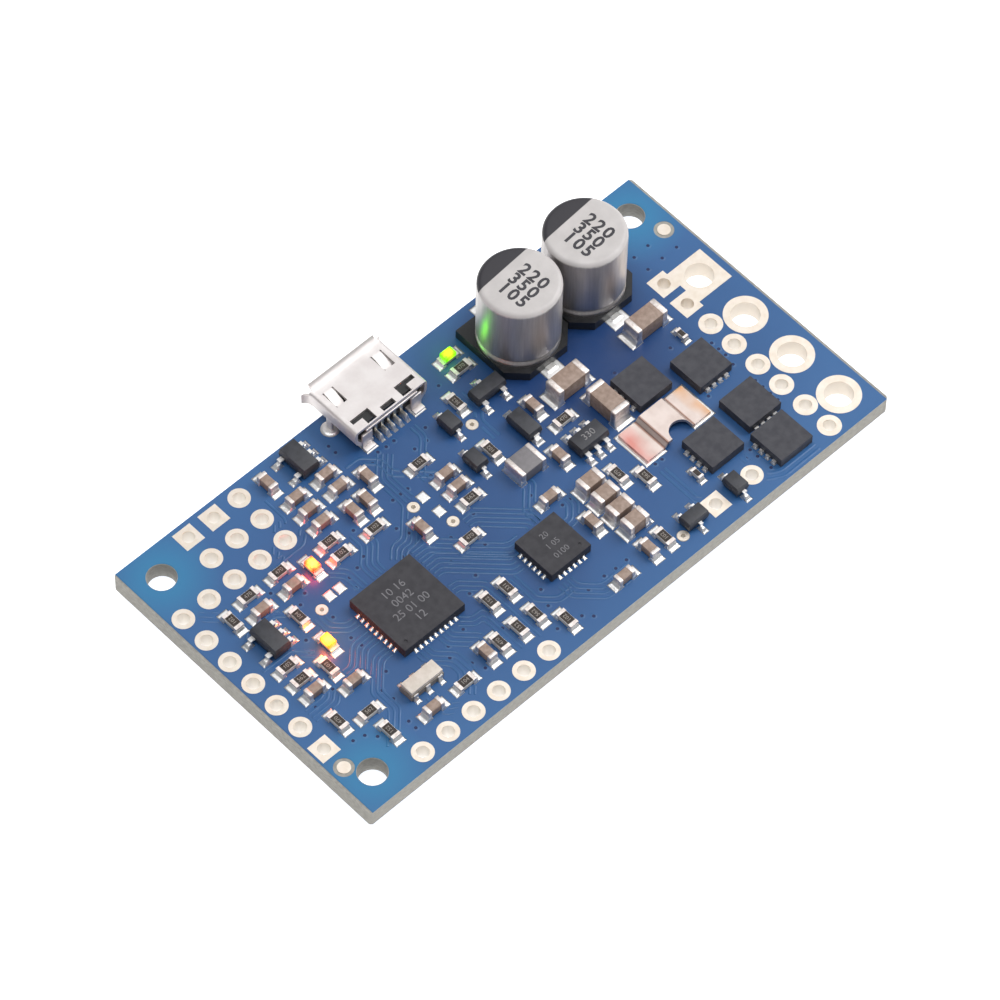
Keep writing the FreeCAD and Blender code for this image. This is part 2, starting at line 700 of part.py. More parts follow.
def mosfets():
    """Power transistors.  Four feet leave one side; the drain plate shows along the opposite side."""
    foot = block("mosfet_foot_metal", "mosfet_foot_width", "mosfet_foot_length", "mosfet_foot_height",
                 y="mosfet_foot_length / 2 - mosfet_width / 2 - mosfet_foot_reach", z="foil")
    foot = gather("mosfet_foot", foot)
    outside = "(mosfet_width / 2 + mosfet_foot_reach / 2)"
    drain = gather("mosfet_drain", block("mosfet_drain_metal", "drain_width", "drain_length",
                                         "mosfet_foot_height", y=f"{outside} - drain_length / 2", z="foil"))
    reach = "mosfet_foot_length + land_margin"
    land = gather("mosfet_land", block("mosfet_tin", "mosfet_foot_width + foil", reach, "foil",
                                       y=f"({reach}) / 2 - mosfet_width / 2 - mosfet_foot_reach - 2 * foil"))
    plate = gather("mosfet_plate", block("mosfet_plate_tin", "drain_width + 2 * foil",
                                         "drain_length + 2 * foil", "foil",
                                         y=f"{outside} - drain_length / 2"))
    row = [spot((number - 1.5) * value("mosfet_pitch"), 0) for number in range(4)]
    mould = block("mosfet_mould", "mosfet_width", "mosfet_width", "mosfet_height", z="foil")
    links = []
    for number, step in enumerate(row, 1):
        link = doc.addObject("App::Link", f"mosfet_slot_{number}")
        link.LinkedObject = foot
        link.Placement = step
        links.append(link)
    body = cut("mosfet_case", mould, gather("mosfet_slots", drain, *links))
    places = [spot(*place) for place in MOSFETS]
    for number, place in enumerate(places, 1):
        copies(f"mosfet_{number}_body", [(body, place)])
    feet = [(foot, place * step) for place in places for step in row]
    copies("mosfet_terminals", feet + at(drain, places))
    return [(land, place * step) for place in places for step in row] + at(plate, places)


def current_strap():
    """The current-sense strap: sheet metal with two feet, a raised middle and a half-round trimming notch."""
    body = doc.addObject("PartDesign::Body", "current_sense_strap")
    profile = sketch(body, "strap_profile", "XZ_Plane")
    foot, deck = "strap_length / 2 - strap_foot", "strap_length / 2 - strap_foot - strap_slope"
    half = "strap_length / 2"
    top = "strap_sheet + strap_rise"
    right = [(half, "0"), (half, "strap_sheet"), (foot, "strap_sheet"), (deck, top)]
    under = [(foot, "0"), (deck, "strap_rise")]
    mirrored = [(f"-({x})", z) for x, z in right[::-1]]
    outline(profile, under[::-1] + right + mirrored + [(f"-({x})", z) for x, z in under])
    deck_pad = pad(body, profile, "strap_width")
    deck_pad.Midplane = True
    notch = sketch(body, "strap_notch_circle")
    circle(notch, "2 * strap_notch", "strap_notch_x", "-strap_width / 2")
    pocket(body, notch)
    move(body, CURRENT_STRAP[0], CURRENT_STRAP[1], "board_thickness + foil")
    node(body, "current_sense_strap")
    tin = block("strap_tin", "strap_foot + 2 * strap_margin", "strap_width + 2 * strap_margin", "foil",
                x="strap_length / 2 - strap_foot / 2 + strap_margin / 2")
    land = gather("strap_land", tin)
    return [(land, spot(*CURRENT_STRAP, turn)) for turn in (0, 180)]


def resonator():
    """A ceramic resonator: a base with three edge terminals a side, and a cap glued on top."""
    place = spot(*RESONATOR)
    half = "resonator_width / 2"
    plate = block("resonator_ceramic", "resonator_length", "resonator_width", "resonator_plate_height",
                  z="foil")
    bond = block("resonator_bond", "resonator_length - 4 * lid_inset", "resonator_width - 4 * lid_inset",
                 "seam", z="foil + resonator_plate_height")
    cover = block("resonator_cover", "resonator_length - 2 * lid_inset", "resonator_width - 2 * lid_inset",
                  "resonator_lid_height", z="foil + resonator_plate_height + seam")
    metal = block("resonator_metal", "resonator_wrap_width", "2 * seam", "resonator_plate_height + seam",
                  y=f"{half} + seam", z="foil")
    tin = block("resonator_tin", "resonator_land", "resonator_land", "foil",
                y=f"{half} + resonator_land / 2 + seam / 2")
    sides = [spot(0, 0, turn) * spot(step * value("resonator_step"), 0) for turn in (0, 180)
             for step in (-1, 0, 1)]
    base = gather("resonator_plate", plate)
    seam = gather("resonator_glue", bond)
    cap = gather("resonator_lid", cover)
    wrap = gather("resonator_wrap", metal)
    land = gather("resonator_land_tin", tin)
    copies("resonator_base", [(base, place)])
    copies("resonator_seam", [(seam, place)])
    copies("resonator_cap", [(cap, place)])
    copies("resonator_terminals", [(wrap, place * side) for side in sides])
    return [(land, place * side) for side in sides]


# ---- electrolytic capacitors ----

def can_profile():
    """Half section of the drawn can: open below, with a rolled bead near its foot."""
    radius, depth = "can_diameter / 2", "bead_depth"
    floor, top = "foil + stand_floor", "can_top"
    bead = [("0", f"{floor} + bead_height - {depth}"), (depth, f"{floor} + bead_height"),
            ("0", f"{floor} + bead_height + {depth}")]
    outside = [(radius, floor)] + [(f"{radius} - {inset}", z) for inset, z in bead] + [(radius, top)]
    inside = [("0", f"{top} - can_wall"), (f"{radius} - can_wall", f"{top} - can_wall")]
    inside += [(f"{radius} - can_wall - {inset}", z) for inset, z in bead[::-1]]
    return outside + [("0", top)] + inside + [(f"{radius} - can_wall", floor)]


def electrolytic_capacitors():
    inner = "can_diameter - 2 * can_wall"
    seat = "foil + stand_floor"
    lead = gather("can_lead", block("can_tab", "stand_lead_width", "stand_lead - stand_lead_start",
                                    "stand_lead_sheet", y="(stand_lead + stand_lead_start) / 2", z="foil"))
    land = gather("can_land", block("can_tin", "can_land_width", "can_land_length", "foil",
                                    y="can_land_length"))
    bung = gather("can_bung", rod("can_rubber", inner, "bead_height - bead_depth", z=seat))
    winding = gather("can_winding", rod("can_roll", f"{inner} - 2 * winding_gap",
                                        "can_top - winding_headroom",
                                        z=f"{seat} + bead_height + bead_depth + winding_lift"))
    places = [spot(*place) for place in CANS]
    both = [place * spot(0, 0, turn) for place in places for turn in (0, 180)]
    leads = copies("capacitor_leads", at(lead, both))
    copies("capacitor_bungs", at(bung, places))
    copies("capacitor_windings", at(winding, places))
    for number, (x, y) in enumerate(CANS, 1):
        can = doc.addObject("PartDesign::Body", f"capacitor_{number}_can")
        section = sketch(can, f"can_section_{number}", "XZ_Plane")
        outline(section, can_profile())
        turned = can.newObject("PartDesign::Revolution", f"can_turned_{number}")
        turned.Profile = section
        turned.ReferenceAxis = (section, ["V_Axis"])
        turned.Angle = 360
        doc.recompute()
        rim = [f"Edge{n}" for n, edge in enumerate(turned.Shape.Edges, 1)
               if edge.BoundBox.ZMin > value("can_top") - 0.01 and len(edge.Vertexes) == 1]
        rounded = can.newObject("PartDesign::Fillet", f"can_rim_{number}")
        rounded.Base = (turned, rim)
        bind(rounded, Radius="can_rim")
        move(can, x, y, "board_thickness")
        node(can, f"capacitor_{number}_can")
        stand = doc.addObject("PartDesign::Body", f"stand_{number}")
        plan = sketch(stand, f"stand_plan_{number}", height="foil")
        half, trim = "stand_width / 2", "stand_width / 2 - stand_corner"
        outline(plan, [(f"-({trim})", f"-{half}"), (trim, f"-{half}"), (half, f"-({trim})"), (half, half),
                       (f"-{half}", half), (f"-{half}", f"-({trim})")])
        pad(stand, plan, "stand_height")
        well = sketch(stand, f"stand_well_{number}", height=seat)
        circle(well, "can_diameter")
        pocket(stand, well, "stand_height")
        move(stand, x, y, "board_thickness")
        node(cut(f"capacitor_{number}_base", stand, leads), f"capacitor_{number}_base")
    return at(land, both)


# ---- socket ----

def socket_section(inset, grow="0"):
    """The socket's section: wide above, bevelled towards the board, inset from its outer face."""
    half = f"(socket_width / 2 - {inset} + {grow})"
    foot = f"(socket_width / 2 - socket_bevel_width - {inset} / 2 + {grow})"
    low, high = f"{inset} - {grow}", f"socket_height - {inset} + {grow}"
    bevel = f"socket_bevel_height + {inset} / 4"
    return [(f"-{foot}", low), (foot, low), (half, bevel), (half, high), (f"-{half}", high),
            (f"-{half}", bevel)]


def extrude_section(body, name, back, length, *insets):
    """Extrudes sections from the y given by back towards -Y."""
    profile = sketch(body, name, "XZ_Plane", height=f"-({back})")
    for inset in insets:
        outline(profile, socket_section(*inset))
    return pad(body, profile, length)


def usb_shell():
    """Folded sheet-metal shell with a turned-out lip, two latch springs, rear feet and two legs."""
    body = doc.addObject("PartDesign::Body", "usb_shell")
    extrude_section(body, "shell_section", "socket_mouth", "socket_length", ("0",), ("socket_sheet",))
    extrude_section(body, "lip_section", "socket_mouth", "socket_sheet", ("0", "socket_lip"),
                    ("socket_sheet",))
    legs = sketch(body, "shell_legs", height="-board_thickness - foil")
    for side in (-1, 1):
        rectangle(legs, "socket_sheet", "socket_leg_width", f"{side} * (socket_width - socket_sheet) / 2",
                  "socket_leg_y")
    pad(body, legs, "board_thickness + foil + socket_bevel_height + 0.3")
    feet = sketch(body, "shell_feet")
    for side in (-1, 1):
        rectangle(feet, "socket_foot_width", "socket_foot_length", f"{side} * socket_foot_x",
                  "socket_mouth - socket_length")
    pad(body, feet, "socket_sheet")
    springs = sketch(body, "spring_slots", height="socket_height - socket_sheet")
    reach, length, gap = "spring_half_width", "spring_half_length", "spring_gap"
    slot = [(f"-{reach} - {gap}", f"-{length}"), (f"-{reach}", f"-{length}"),
            (f"-{reach}", f"{length} - {gap}"), (reach, f"{length} - {gap}"), (reach, f"-{length}"),
            (f"{reach} + {gap}", f"-{length}"),
            (f"{reach} + {gap}", length), (f"-{reach} - {gap}", length)]
    for side in (-1, 1):
        outline(springs, [(f"{side} * spring_x + ({x})", f"spring_y + ({y})") for x, y in slot])
    pocket(body, springs, "2 * socket_sheet")
    rear = sketch(body, "rear_notches", height="socket_height - socket_sheet")
    back = "socket_mouth - socket_length"
    rectangle(rear, "rear_notch_width", "rear_notch_length", y=back)
    for side in (-1, 1):
        rectangle(rear, "rear_slot_width", "rear_slot_length", f"{side} * rear_slot_x",
                  f"{back} + rear_notch_length / 2 + 0.7 * rear_slot_length")
    pocket(body, rear, "2 * socket_sheet")
    floor = sketch(body, "floor_notch")
    rectangle(floor, "5 * contact_pitch + 2 * land_margin", "2.5 * block_setback",
              y=f"{back} + block_setback")
    pocket(body, floor, "socket_sheet")
    move(body, "socket_x", "0", "board_thickness + foil")
    node(body, "usb_shell")
    land = gather("shell_land", block("shell_tin", "socket_foot_land", "socket_foot_land", "foil"))
    across = [value(f"socket_x + {side} * (socket_foot_x + 2 * foil)") for side in (-1, 1)]
    return [(land, spot(x, value(f"{back} - 2 * foil"))) for x in across]


def usb_insides():
    """The plastic block with its tongue, and five contacts that run from the tongue to the board."""
    body = doc.addObject("PartDesign::Body", "insulator_blank")
    rear = "socket_mouth - socket_length + block_setback"
    front = "socket_mouth - tongue_setback"
    extrude_section(body, "block_section", f"{rear} + socket_block", "socket_block", ("socket_sheet",))
    tongue = sketch(body, "tongue_section", "XZ_Plane", height=f"-({front})")
    rectangle(tongue, "socket_tongue_width", "socket_tongue", y="tongue_middle")
    pad(body, tongue, f"{front} - ({rear}) - socket_block / 3")
    move(body, "socket_x", "0", "board_thickness + foil")
    strip = block("contact_flat", "contact_width", "contact_strip", "contact_sheet",
                  y=f"{rear} + contact_strip / 2", z="foil + contact_height")
    drop = block("contact_drop", "contact_width", "contact_sheet", "contact_height + contact_sheet",
                 y=f"{rear} - contact_sheet / 2", z="foil")
    toe = block("contact_foot", "contact_width", "contact_toe", "contact_sheet",
                y=f"{rear} - contact_toe / 2", z="foil")
    contact = fuse("contact", strip, drop, toe)
    row = [spot(value(f"socket_x + {number} * contact_pitch"), 0) for number in range(-2, 3)]
    contacts = copies("usb_contacts", at(contact, row))
    node(cut("usb_insulator", body, contacts), "usb_insulator")
    tin = block("contact_tin", "contact_width + 2 * foil", "contact_toe + 7 * foil", "foil",
                y=f"{rear} - 9 * foil")
    return at(gather("contact_land", tin), row)


circuit_board()
plated_lands()
supply_terminal_pad()
flat_lands()
resistors()
ceramic_capacitors()
tinned = light_emitting_diodes()
tinned += small_outline_parts()
tinned += no_lead_chip("microcontroller", "mcu_width", "mcu_height", 9, -1, spot(*MICROCONTROLLER))
tinned += no_lead_chip("gate_driver", "driver_width", "driver_height", 6, 1, spot(*GATE_DRIVER))
tinned += mosfets()
tinned += current_strap()
tinned += resonator()
tinned += electrolytic_capacitors()
tinned += usb_shell()
tinned += usb_insides()
copies("device_lands", tinned)

doc.recompute()
for item in doc.Objects:
    if {"Invalid", "Error"} & set(item.State):
        raise RuntimeError(f"{item.Label} failed: {item.State}")
os.makedirs("parts", exist_ok=True)
for item in nodes:
    if item.Shape.isNull() or not item.Shape.isValid():
        raise RuntimeError(f"{item.Label} has no valid shape")
    item.Shape.exportStep(f"parts/{item.Label}.step")
    print(item.Label, len(item.Shape.Solids), "solids", round(item.Shape.Volume, 3), "mm3")
print(len(nodes), "sub-parts")
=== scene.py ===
# %% [markdown]
# # A small blue motor-driving board
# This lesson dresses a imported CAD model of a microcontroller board.  The CAD gives every size and place.
# Blender adds what the eye reads as real: a glossy solder mask with raised copper tracks, solder that climbs
# each metal end, folded sheet metal, drawn aluminium and lit indicator lamps.  The CAD pieces never move; a
# piece is either dressed with a material or hidden and rebuilt in the same place.

# %% Load the frame
import math
import random
import bmesh
import bpy
from mathutils import Matrix, Vector


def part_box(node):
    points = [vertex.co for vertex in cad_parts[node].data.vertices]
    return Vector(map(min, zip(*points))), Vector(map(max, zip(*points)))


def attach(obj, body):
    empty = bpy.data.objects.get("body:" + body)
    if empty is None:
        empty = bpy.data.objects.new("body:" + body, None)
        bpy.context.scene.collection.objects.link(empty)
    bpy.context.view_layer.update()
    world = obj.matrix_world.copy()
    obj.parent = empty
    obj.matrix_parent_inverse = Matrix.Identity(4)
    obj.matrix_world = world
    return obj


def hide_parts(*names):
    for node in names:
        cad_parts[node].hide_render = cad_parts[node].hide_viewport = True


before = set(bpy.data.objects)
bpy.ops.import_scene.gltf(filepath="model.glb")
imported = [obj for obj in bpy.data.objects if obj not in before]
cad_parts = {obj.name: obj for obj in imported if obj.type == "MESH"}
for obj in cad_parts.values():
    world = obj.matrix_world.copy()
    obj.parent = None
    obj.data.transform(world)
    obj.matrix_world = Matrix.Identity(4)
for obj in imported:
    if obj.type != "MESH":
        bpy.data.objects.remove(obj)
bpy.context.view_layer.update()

print("nodes", len(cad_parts))

# %% [markdown]
# ## Working in millimetres
# The frame is in metres, but a circuit board is easier to think about in millimetres.  Everything below is
# drawn in millimetres and shrunk once, when a piece is finished.  Chance has a fixed seed, so that every run
# draws the same solder and the same codes.

# %% Units and chance
MM = 0.001
chance = random.Random(7)


def corners(node):
    """Lowest and highest corner of a CAD node, in millimetres."""
    low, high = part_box(node)
    return low / MM, high / MM


board_low, board_high = corners("circuit_board")
top = board_high.z
print("board", tuple(round(side, 2) for side in board_high - board_low))

# %% [markdown]
# ## Finding the separate solids of a node
# One CAD node can hold many equal solids, such as all the chip ends.  A list of places could be typed in, but
# it would go stale when the CAD changes.  Flood-filling the mesh from vertex to vertex finds each solid, and
# its box says where to build the better-looking piece.

# %% Boxes of the solids in a node
def solids(*nodes):
    """The box of each separate solid, as (lowest corner, highest corner) in millimetres."""
    boxes = []
    for node in nodes:
        bm = bmesh.new()
        bm.from_mesh(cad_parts[node].data)
        bmesh.ops.remove_doubles(bm, verts=bm.verts, dist=1e-6)
        waiting = set(bm.verts)
        while waiting:
            edge_of_search = [waiting.pop()]
            found = []
            while edge_of_search:
                vert = edge_of_search.pop()
                found.append(vert.co / MM)
                for link in vert.link_edges:
                    other = link.other_vert(vert)
                    if other in waiting:
                        waiting.remove(other)
                        edge_of_search.append(other)
            low = Vector(min(point[axis] for point in found) for axis in range(3))
            high = Vector(max(point[axis] for point in found) for axis in range(3))
            boxes.append((low, high))
        bm.free()
    boxes.sort(key=lambda box: tuple(round(number, 3) for number in (*box[0], *box[1])))
    return boxes


print("chip ends", len(solids("resistor_terminations", "ceramic_capacitor_0603_terminations")))

# %% [markdown]
# ## One helper for shader nodes
# A material is a small graph.  A single function adds a node, sets its sockets and joins its inputs, which
# keeps each recipe below short.  Colours are written as sRGB hex values and turned to linear in one place.

# %% Shader helpers
def linear(colour):
    """An sRGB hex value as linear red, green, blue and a full alpha."""
    parts = [int(colour[start:start + 2], 16) / 255 for start in (1, 3, 5)]
    return [part / 12.92 if part <= 0.04045 else ((part + 0.055) / 1.055) ** 2.4 for part in parts] + [1]


def add(tree, kind, inputs=None, **settings):
    """Adds a node; an input is a number, a colour or another node's output."""
    item = tree.nodes.new("ShaderNode" + kind)
    for name, setting in settings.items():
        setattr(item, name, setting)
    for name, source in (inputs or {}).items():
        if isinstance(source, bpy.types.NodeSocket):
            tree.links.new(source, item.inputs[name])
        else:
            item.inputs[name].default_value = source
    return item


print("middle grey in linear light", [round(part, 3) for part in linear("#808080")])

# %% Start a material
def start(name):
    """A new material with a principled shader; returns the material, its tree, the shader and a place."""
    material = bpy.data.materials.new(name)
    material.use_nodes = True
    tree = material.node_tree
    tree.nodes.clear()
    shader = add(tree, "BsdfPrincipled")
    add(tree, "OutputMaterial", {"Surface": shader.outputs[0]})
    place = add(tree, "TexCoord").outputs["Object"]
    return material, tree, shader, place


def mottle(tree, place, grain, detail=3.0, stretch=(1, 1, 1)):
    """Uneven patches about grain millimetres across, drawn out along the axes with a small stretch."""
    scaled = add(tree, "Mapping", {"Vector": place, "Scale": [part / (grain * MM) for part in stretch]})
    return add(tree, "TexNoise", {"Vector": scaled.outputs[0], "Scale": 1.0, "Detail": detail}).outputs["Fac"]


FIRST, SECOND = 0.35, 0.65


def blend(tree, factor, first, second):
    """Mixes two colours, each a hex value or an output: all first at FIRST, all second at SECOND."""
    sharp = add(tree, "MapRange", {"Value": factor, "From Min": FIRST, "From Max": SECOND})
    mixed = add(tree, "Mix", {"Factor": sharp.outputs[0]}, data_type="RGBA")
    for socket, colour in ((mixed.inputs[6], first), (mixed.inputs[7], second)):
        if isinstance(colour, str):
            socket.default_value = linear(colour)
        else:
            tree.links.new(colour, socket)
    return mixed.outputs[2]


def surface(name, first, second, grain, rough, bump, bump_grain, stretch=(1, 1, 1), **sockets):
    """The common recipe: two close colours, uneven gloss and a fine bump, with sizes in millimetres."""
    material, tree, shader, place = start(name)
    cloud = mottle(tree, place, grain, stretch=stretch)
    tree.links.new(blend(tree, cloud, first, second), shader.inputs["Base Color"])
    gloss = add(tree, "MapRange", {"Value": cloud, "From Min": 0.3, "From Max": 0.7,
                                   "To Min": rough[0], "To Max": rough[1]})
    tree.links.new(gloss.outputs[0], shader.inputs["Roughness"])
    relief = mottle(tree, place, bump_grain, detail=4.0, stretch=stretch)
    bumped = add(tree, "Bump", {"Height": relief, "Distance": bump * MM, "Strength": 1.0})
    tree.links.new(bumped.outputs[0], shader.inputs["Normal"])
    for socket, setting in sockets.items():
        shader.inputs[socket.replace("_", " ")].default_value = setting
    return material


print("noise from", FIRST, "to", SECOND, "goes from one colour to the other")

# %% [markdown]
# ## The finishes
# Each finish starts from the real material and how its surface was made.  A flat colour looks like a toy,
# and even matt plastic has a fine grain and uneven gloss, so one recipe gives every finish two close
# colours, a range of roughness and a bump.  Bare metals keep a metallic of one, or near it, and the default
# IOR; plastics, glass and ceramics get their own IOR.  Grain sizes are in millimetres, and some are drawn
# coarser than the real ones, which are too fine to show.

# %% Board, plating and solder
# Sawn glass epoxy: a matt, warm grey edge with faint layers.
laminate = surface("glass_epoxy_sawn", "#a5a29a", "#95928b", 0.25, (0.6, 0.8), 0.012, 0.1,
                   stretch=(0.7, 0.7, 1.6), IOR=1.55)
# Solder frozen in the oven: bright and slightly lumpy.
solder = surface("reflowed_solder", "#fbfaf9", "#ecebe9", 0.5, (0.34, 0.5), 0.01, 0.25, Metallic=1.0)
# Plated copper leads: silvery with a fine grain.
tin_lead = surface("tin_plated_copper", "#f8f6f4", "#e9e6e3", 0.4, (0.3, 0.45), 0.006, 0.12, Metallic=1.0)
# Chip ends plated in a barrel: a warm, matt silver.
chip_end = surface("barrel_plated_tin", "#f4ece8", "#ddd3cd", 0.25, (0.42, 0.56), 0.01, 0.1, Metallic=1.0)
print("so far", [material.name for material in bpy.data.materials])

# %% Gold plating
def plated_gold(name, wall_colour_with_painted_light, wall_metal):
    """Gold flash: satin on the lands; a hole's wall gets a paler colour and scatters more, painted light for
    the light that enters at both ends.
    """
    material, tree, shader, place = start(name)
    cloud = mottle(tree, place, 0.8)
    height = add(tree, "SeparateXYZ", {"Vector": place}).outputs[2]
    from_middle = add(tree, "Math", {0: height, 1: top / 2 * MM}, operation="SUBTRACT")
    depth = add(tree, "Math", {0: from_middle.outputs[0]}, operation="ABSOLUTE").outputs[0]
    on_land = add(tree, "MapRange", {"Value": depth, "From Min": (top / 2 - 0.06) * MM,
                                     "From Max": (top / 2 - 0.01) * MM, "To Min": wall_metal, "To Max": 1.0})
    wall = add(tree, "MapRange", {"Value": on_land.outputs[0], "From Min": wall_metal, "To Min": SECOND,
                                  "To Max": FIRST})
    land_colour = blend(tree, cloud, "#f0e6da", "#e7dbcc")
    # Painted light: the wall of a hole takes a paler colour than the land.
    tree.links.new(blend(tree, wall.outputs[0], land_colour, wall_colour_with_painted_light), shader.inputs["Base Color"])
    tree.links.new(on_land.outputs[0], shader.inputs["Metallic"])
    gloss = add(tree, "MapRange", {"Value": cloud, "From Min": 0.3, "From Max": 0.7,
                                   "To Min": 0.42, "To Max": 0.52})
    tree.links.new(gloss.outputs[0], shader.inputs["Roughness"])
    bumped = add(tree, "Bump", {"Height": mottle(tree, place, 0.15), "Distance": 0.004 * MM, "Strength": 1.0})
    tree.links.new(bumped.outputs[0], shader.inputs["Normal"])
    return material


# Thin gold over nickel; the wall of a wide hole mirrors about as much as it scatters.
gold_flash = plated_gold("immersion_gold_wide_holes", "#efe6d9", 0.5)
# The same gold; a narrow hole's wall is painted paler and mirrors less, painted light for the light that
# bounces about inside it.
gold_narrow_painted_light = plated_gold("immersion_gold_narrow_holes_painted_light", "#fffaf2", 0.25)
print("gold", gold_flash.name, gold_narrow_painted_light.name)

# %% Plastics
# Filled epoxy, moulded against a spark-eroded tool: a matt charcoal.
moulding = surface("epoxy_moulding_matt", "#434349", "#3b3b42", 0.6, (0.55, 0.7), 0.006, 0.05, IOR=1.5)
# The two largest packages have a finer, darker skin.
fine_moulding = surface("epoxy_moulding_fine", "#38373c", "#323136", 0.6, (0.55, 0.7), 0.006, 0.05, IOR=1.5)
# The small packages come from a smoother mould and shine a little.
small_moulding = surface("epoxy_moulding_black", "#35363b", "#3e3f45", 0.5, (0.4, 0.55), 0.006, 0.06, IOR=1.5)
# Glass-filled nylon: near black, satin.
socket_plastic = surface("nylon_moulded_black", "#1b1b1c", "#242425", 0.5, (0.4, 0.55), 0.004, 0.08, IOR=1.53)
# The cans' moulded stands: darker, with a little more shine.
stand_plastic = surface("nylon_stand_black", "#16171a", "#1f2023", 0.6, (0.35, 0.5), 0.005, 0.1, IOR=1.53)
print("plastics", moulding.name, fine_moulding.name, small_moulding.name, socket_plastic.name)

# %% Ceramics, glass and the rest
# Fired barium titanate, tumbled: a dull tan.
dielectric = surface("fired_dielectric_tan", "#a1897a", "#8c7566", 0.35, (0.5, 0.65), 0.008, 0.06, IOR=1.8)
# Sintered ferrite: dark warm grey.
ferrite = surface("sintered_ferrite_grey", "#6f6b6e", "#7b777a", 0.3, (0.5, 0.65), 0.008, 0.06, IOR=1.8)
# Fired alumina plate: off-white with a fine grain.
alumina = surface("alumina_white", "#e4dfd8", "#cfc9c0", 0.3, (0.45, 0.6), 0.006, 0.05, IOR=1.76)
# Screened glass over the resistor: glossy brown-black.
overglaze = surface("glass_overcoat_black", "#2b2421", "#3a302b", 0.3, (0.25, 0.4), 0.005, 0.1, IOR=1.52)
# The resonator's cream lid, its fired base and the bond between them.
lid_ceramic = surface("resonator_lid_cream", "#ded3c8", "#d0c4b7", 0.5, (0.4, 0.5), 0.005, 0.08, IOR=1.7)
brown_ceramic = surface("resonator_base_fired", "#9a8f84", "#857a6f", 0.3, (0.45, 0.6), 0.006, 0.05, IOR=1.7)
glue = surface("epoxy_bond_amber", "#4d3d22", "#7a6030", 0.2, (0.3, 0.5), 0.01, 0.1, IOR=1.55)
# What a can holds: a rubber bung and a wound roll of foil and paper.
rubber = surface("butyl_rubber", "#1c1c1c", "#262626", 0.4, (0.7, 0.85), 0.01, 0.1, IOR=1.52)
paper_roll = surface("electrolyte_paper", "#b7ab94", "#a39678", 0.4, (0.8, 0.9), 0.01, 0.1, IOR=1.45)
# The lamps' small epoxy base.
lamp_plate = surface("lamp_laminate", "#d8d3bd", "#c8c1a6", 0.3, (0.5, 0.6), 0.006, 0.08, IOR=1.5)
print("finishes so far", len(bpy.data.materials))

# %% Sheet metals
# Matt tin over folded steel: even and nearly white.
matt_tin = surface("matt_tin_plated_sheet", "#e8e3e1", "#dfd9d7", 1.5, (0.52, 0.62), 0.003, 0.2, Metallic=1.0)
# Drawn aluminium: the draw leaves fine upright lines.
drawn_can = surface("aluminium_drawn_satin", "#c6c2c1", "#bbb7b6", 0.2, (0.4, 0.48), 0.002, 0.1,
                    stretch=(1, 1, 0.05), Metallic=1.0)
# Thin gold over nickel on the socket's contacts.
contact_gold = surface("contact_gold_flash", "#f2ecdd", "#e3d8bd", 0.4, (0.25, 0.35), 0.004, 0.1,
                       Metallic=1.0)
# The ink of the cans' digits.
black_print = surface("can_print_black", "#403e43", "#37353a", 0.8, (0.5, 0.6), 0.003, 0.1, IOR=1.5)
print("finishes", len(bpy.data.materials))

# %% [markdown]
# ## Solder mask
# The blue skin is a liquid epoxy ink, flooded over copper and laminate and cured to a soft gloss.  Its colour
# is deep over copper and turns to a bright sky blue where there is no copper at all, round the screw holes,
# because there light passes into the pale laminate.  A painted image could show that, but it would blur close
# up.  Here the material itself measures the distance to the holes, to one darker patch and to the rim, where
# painted light makes the mask paler.

# %% The mask's material
PITCH = 2.54
SCREW_INSET = PITCH
SCREW_X, SCREW_Y = board_high.x - SCREW_INSET, board_high.y - SCREW_INSET
PLAIN_ZONES = [(-SCREW_X, SCREW_Y), (-SCREW_X, -SCREW_Y), (SCREW_X, SCREW_Y)]
PLAIN_REACH, PLAIN_CORE = 4.6, 1.6
DEEP_PATCH = (12.5, 5.5, 10.0)
PAINTED_LIGHT_RIM_START, PAINTED_LIGHT_RIM_END = 0.6, 1.15


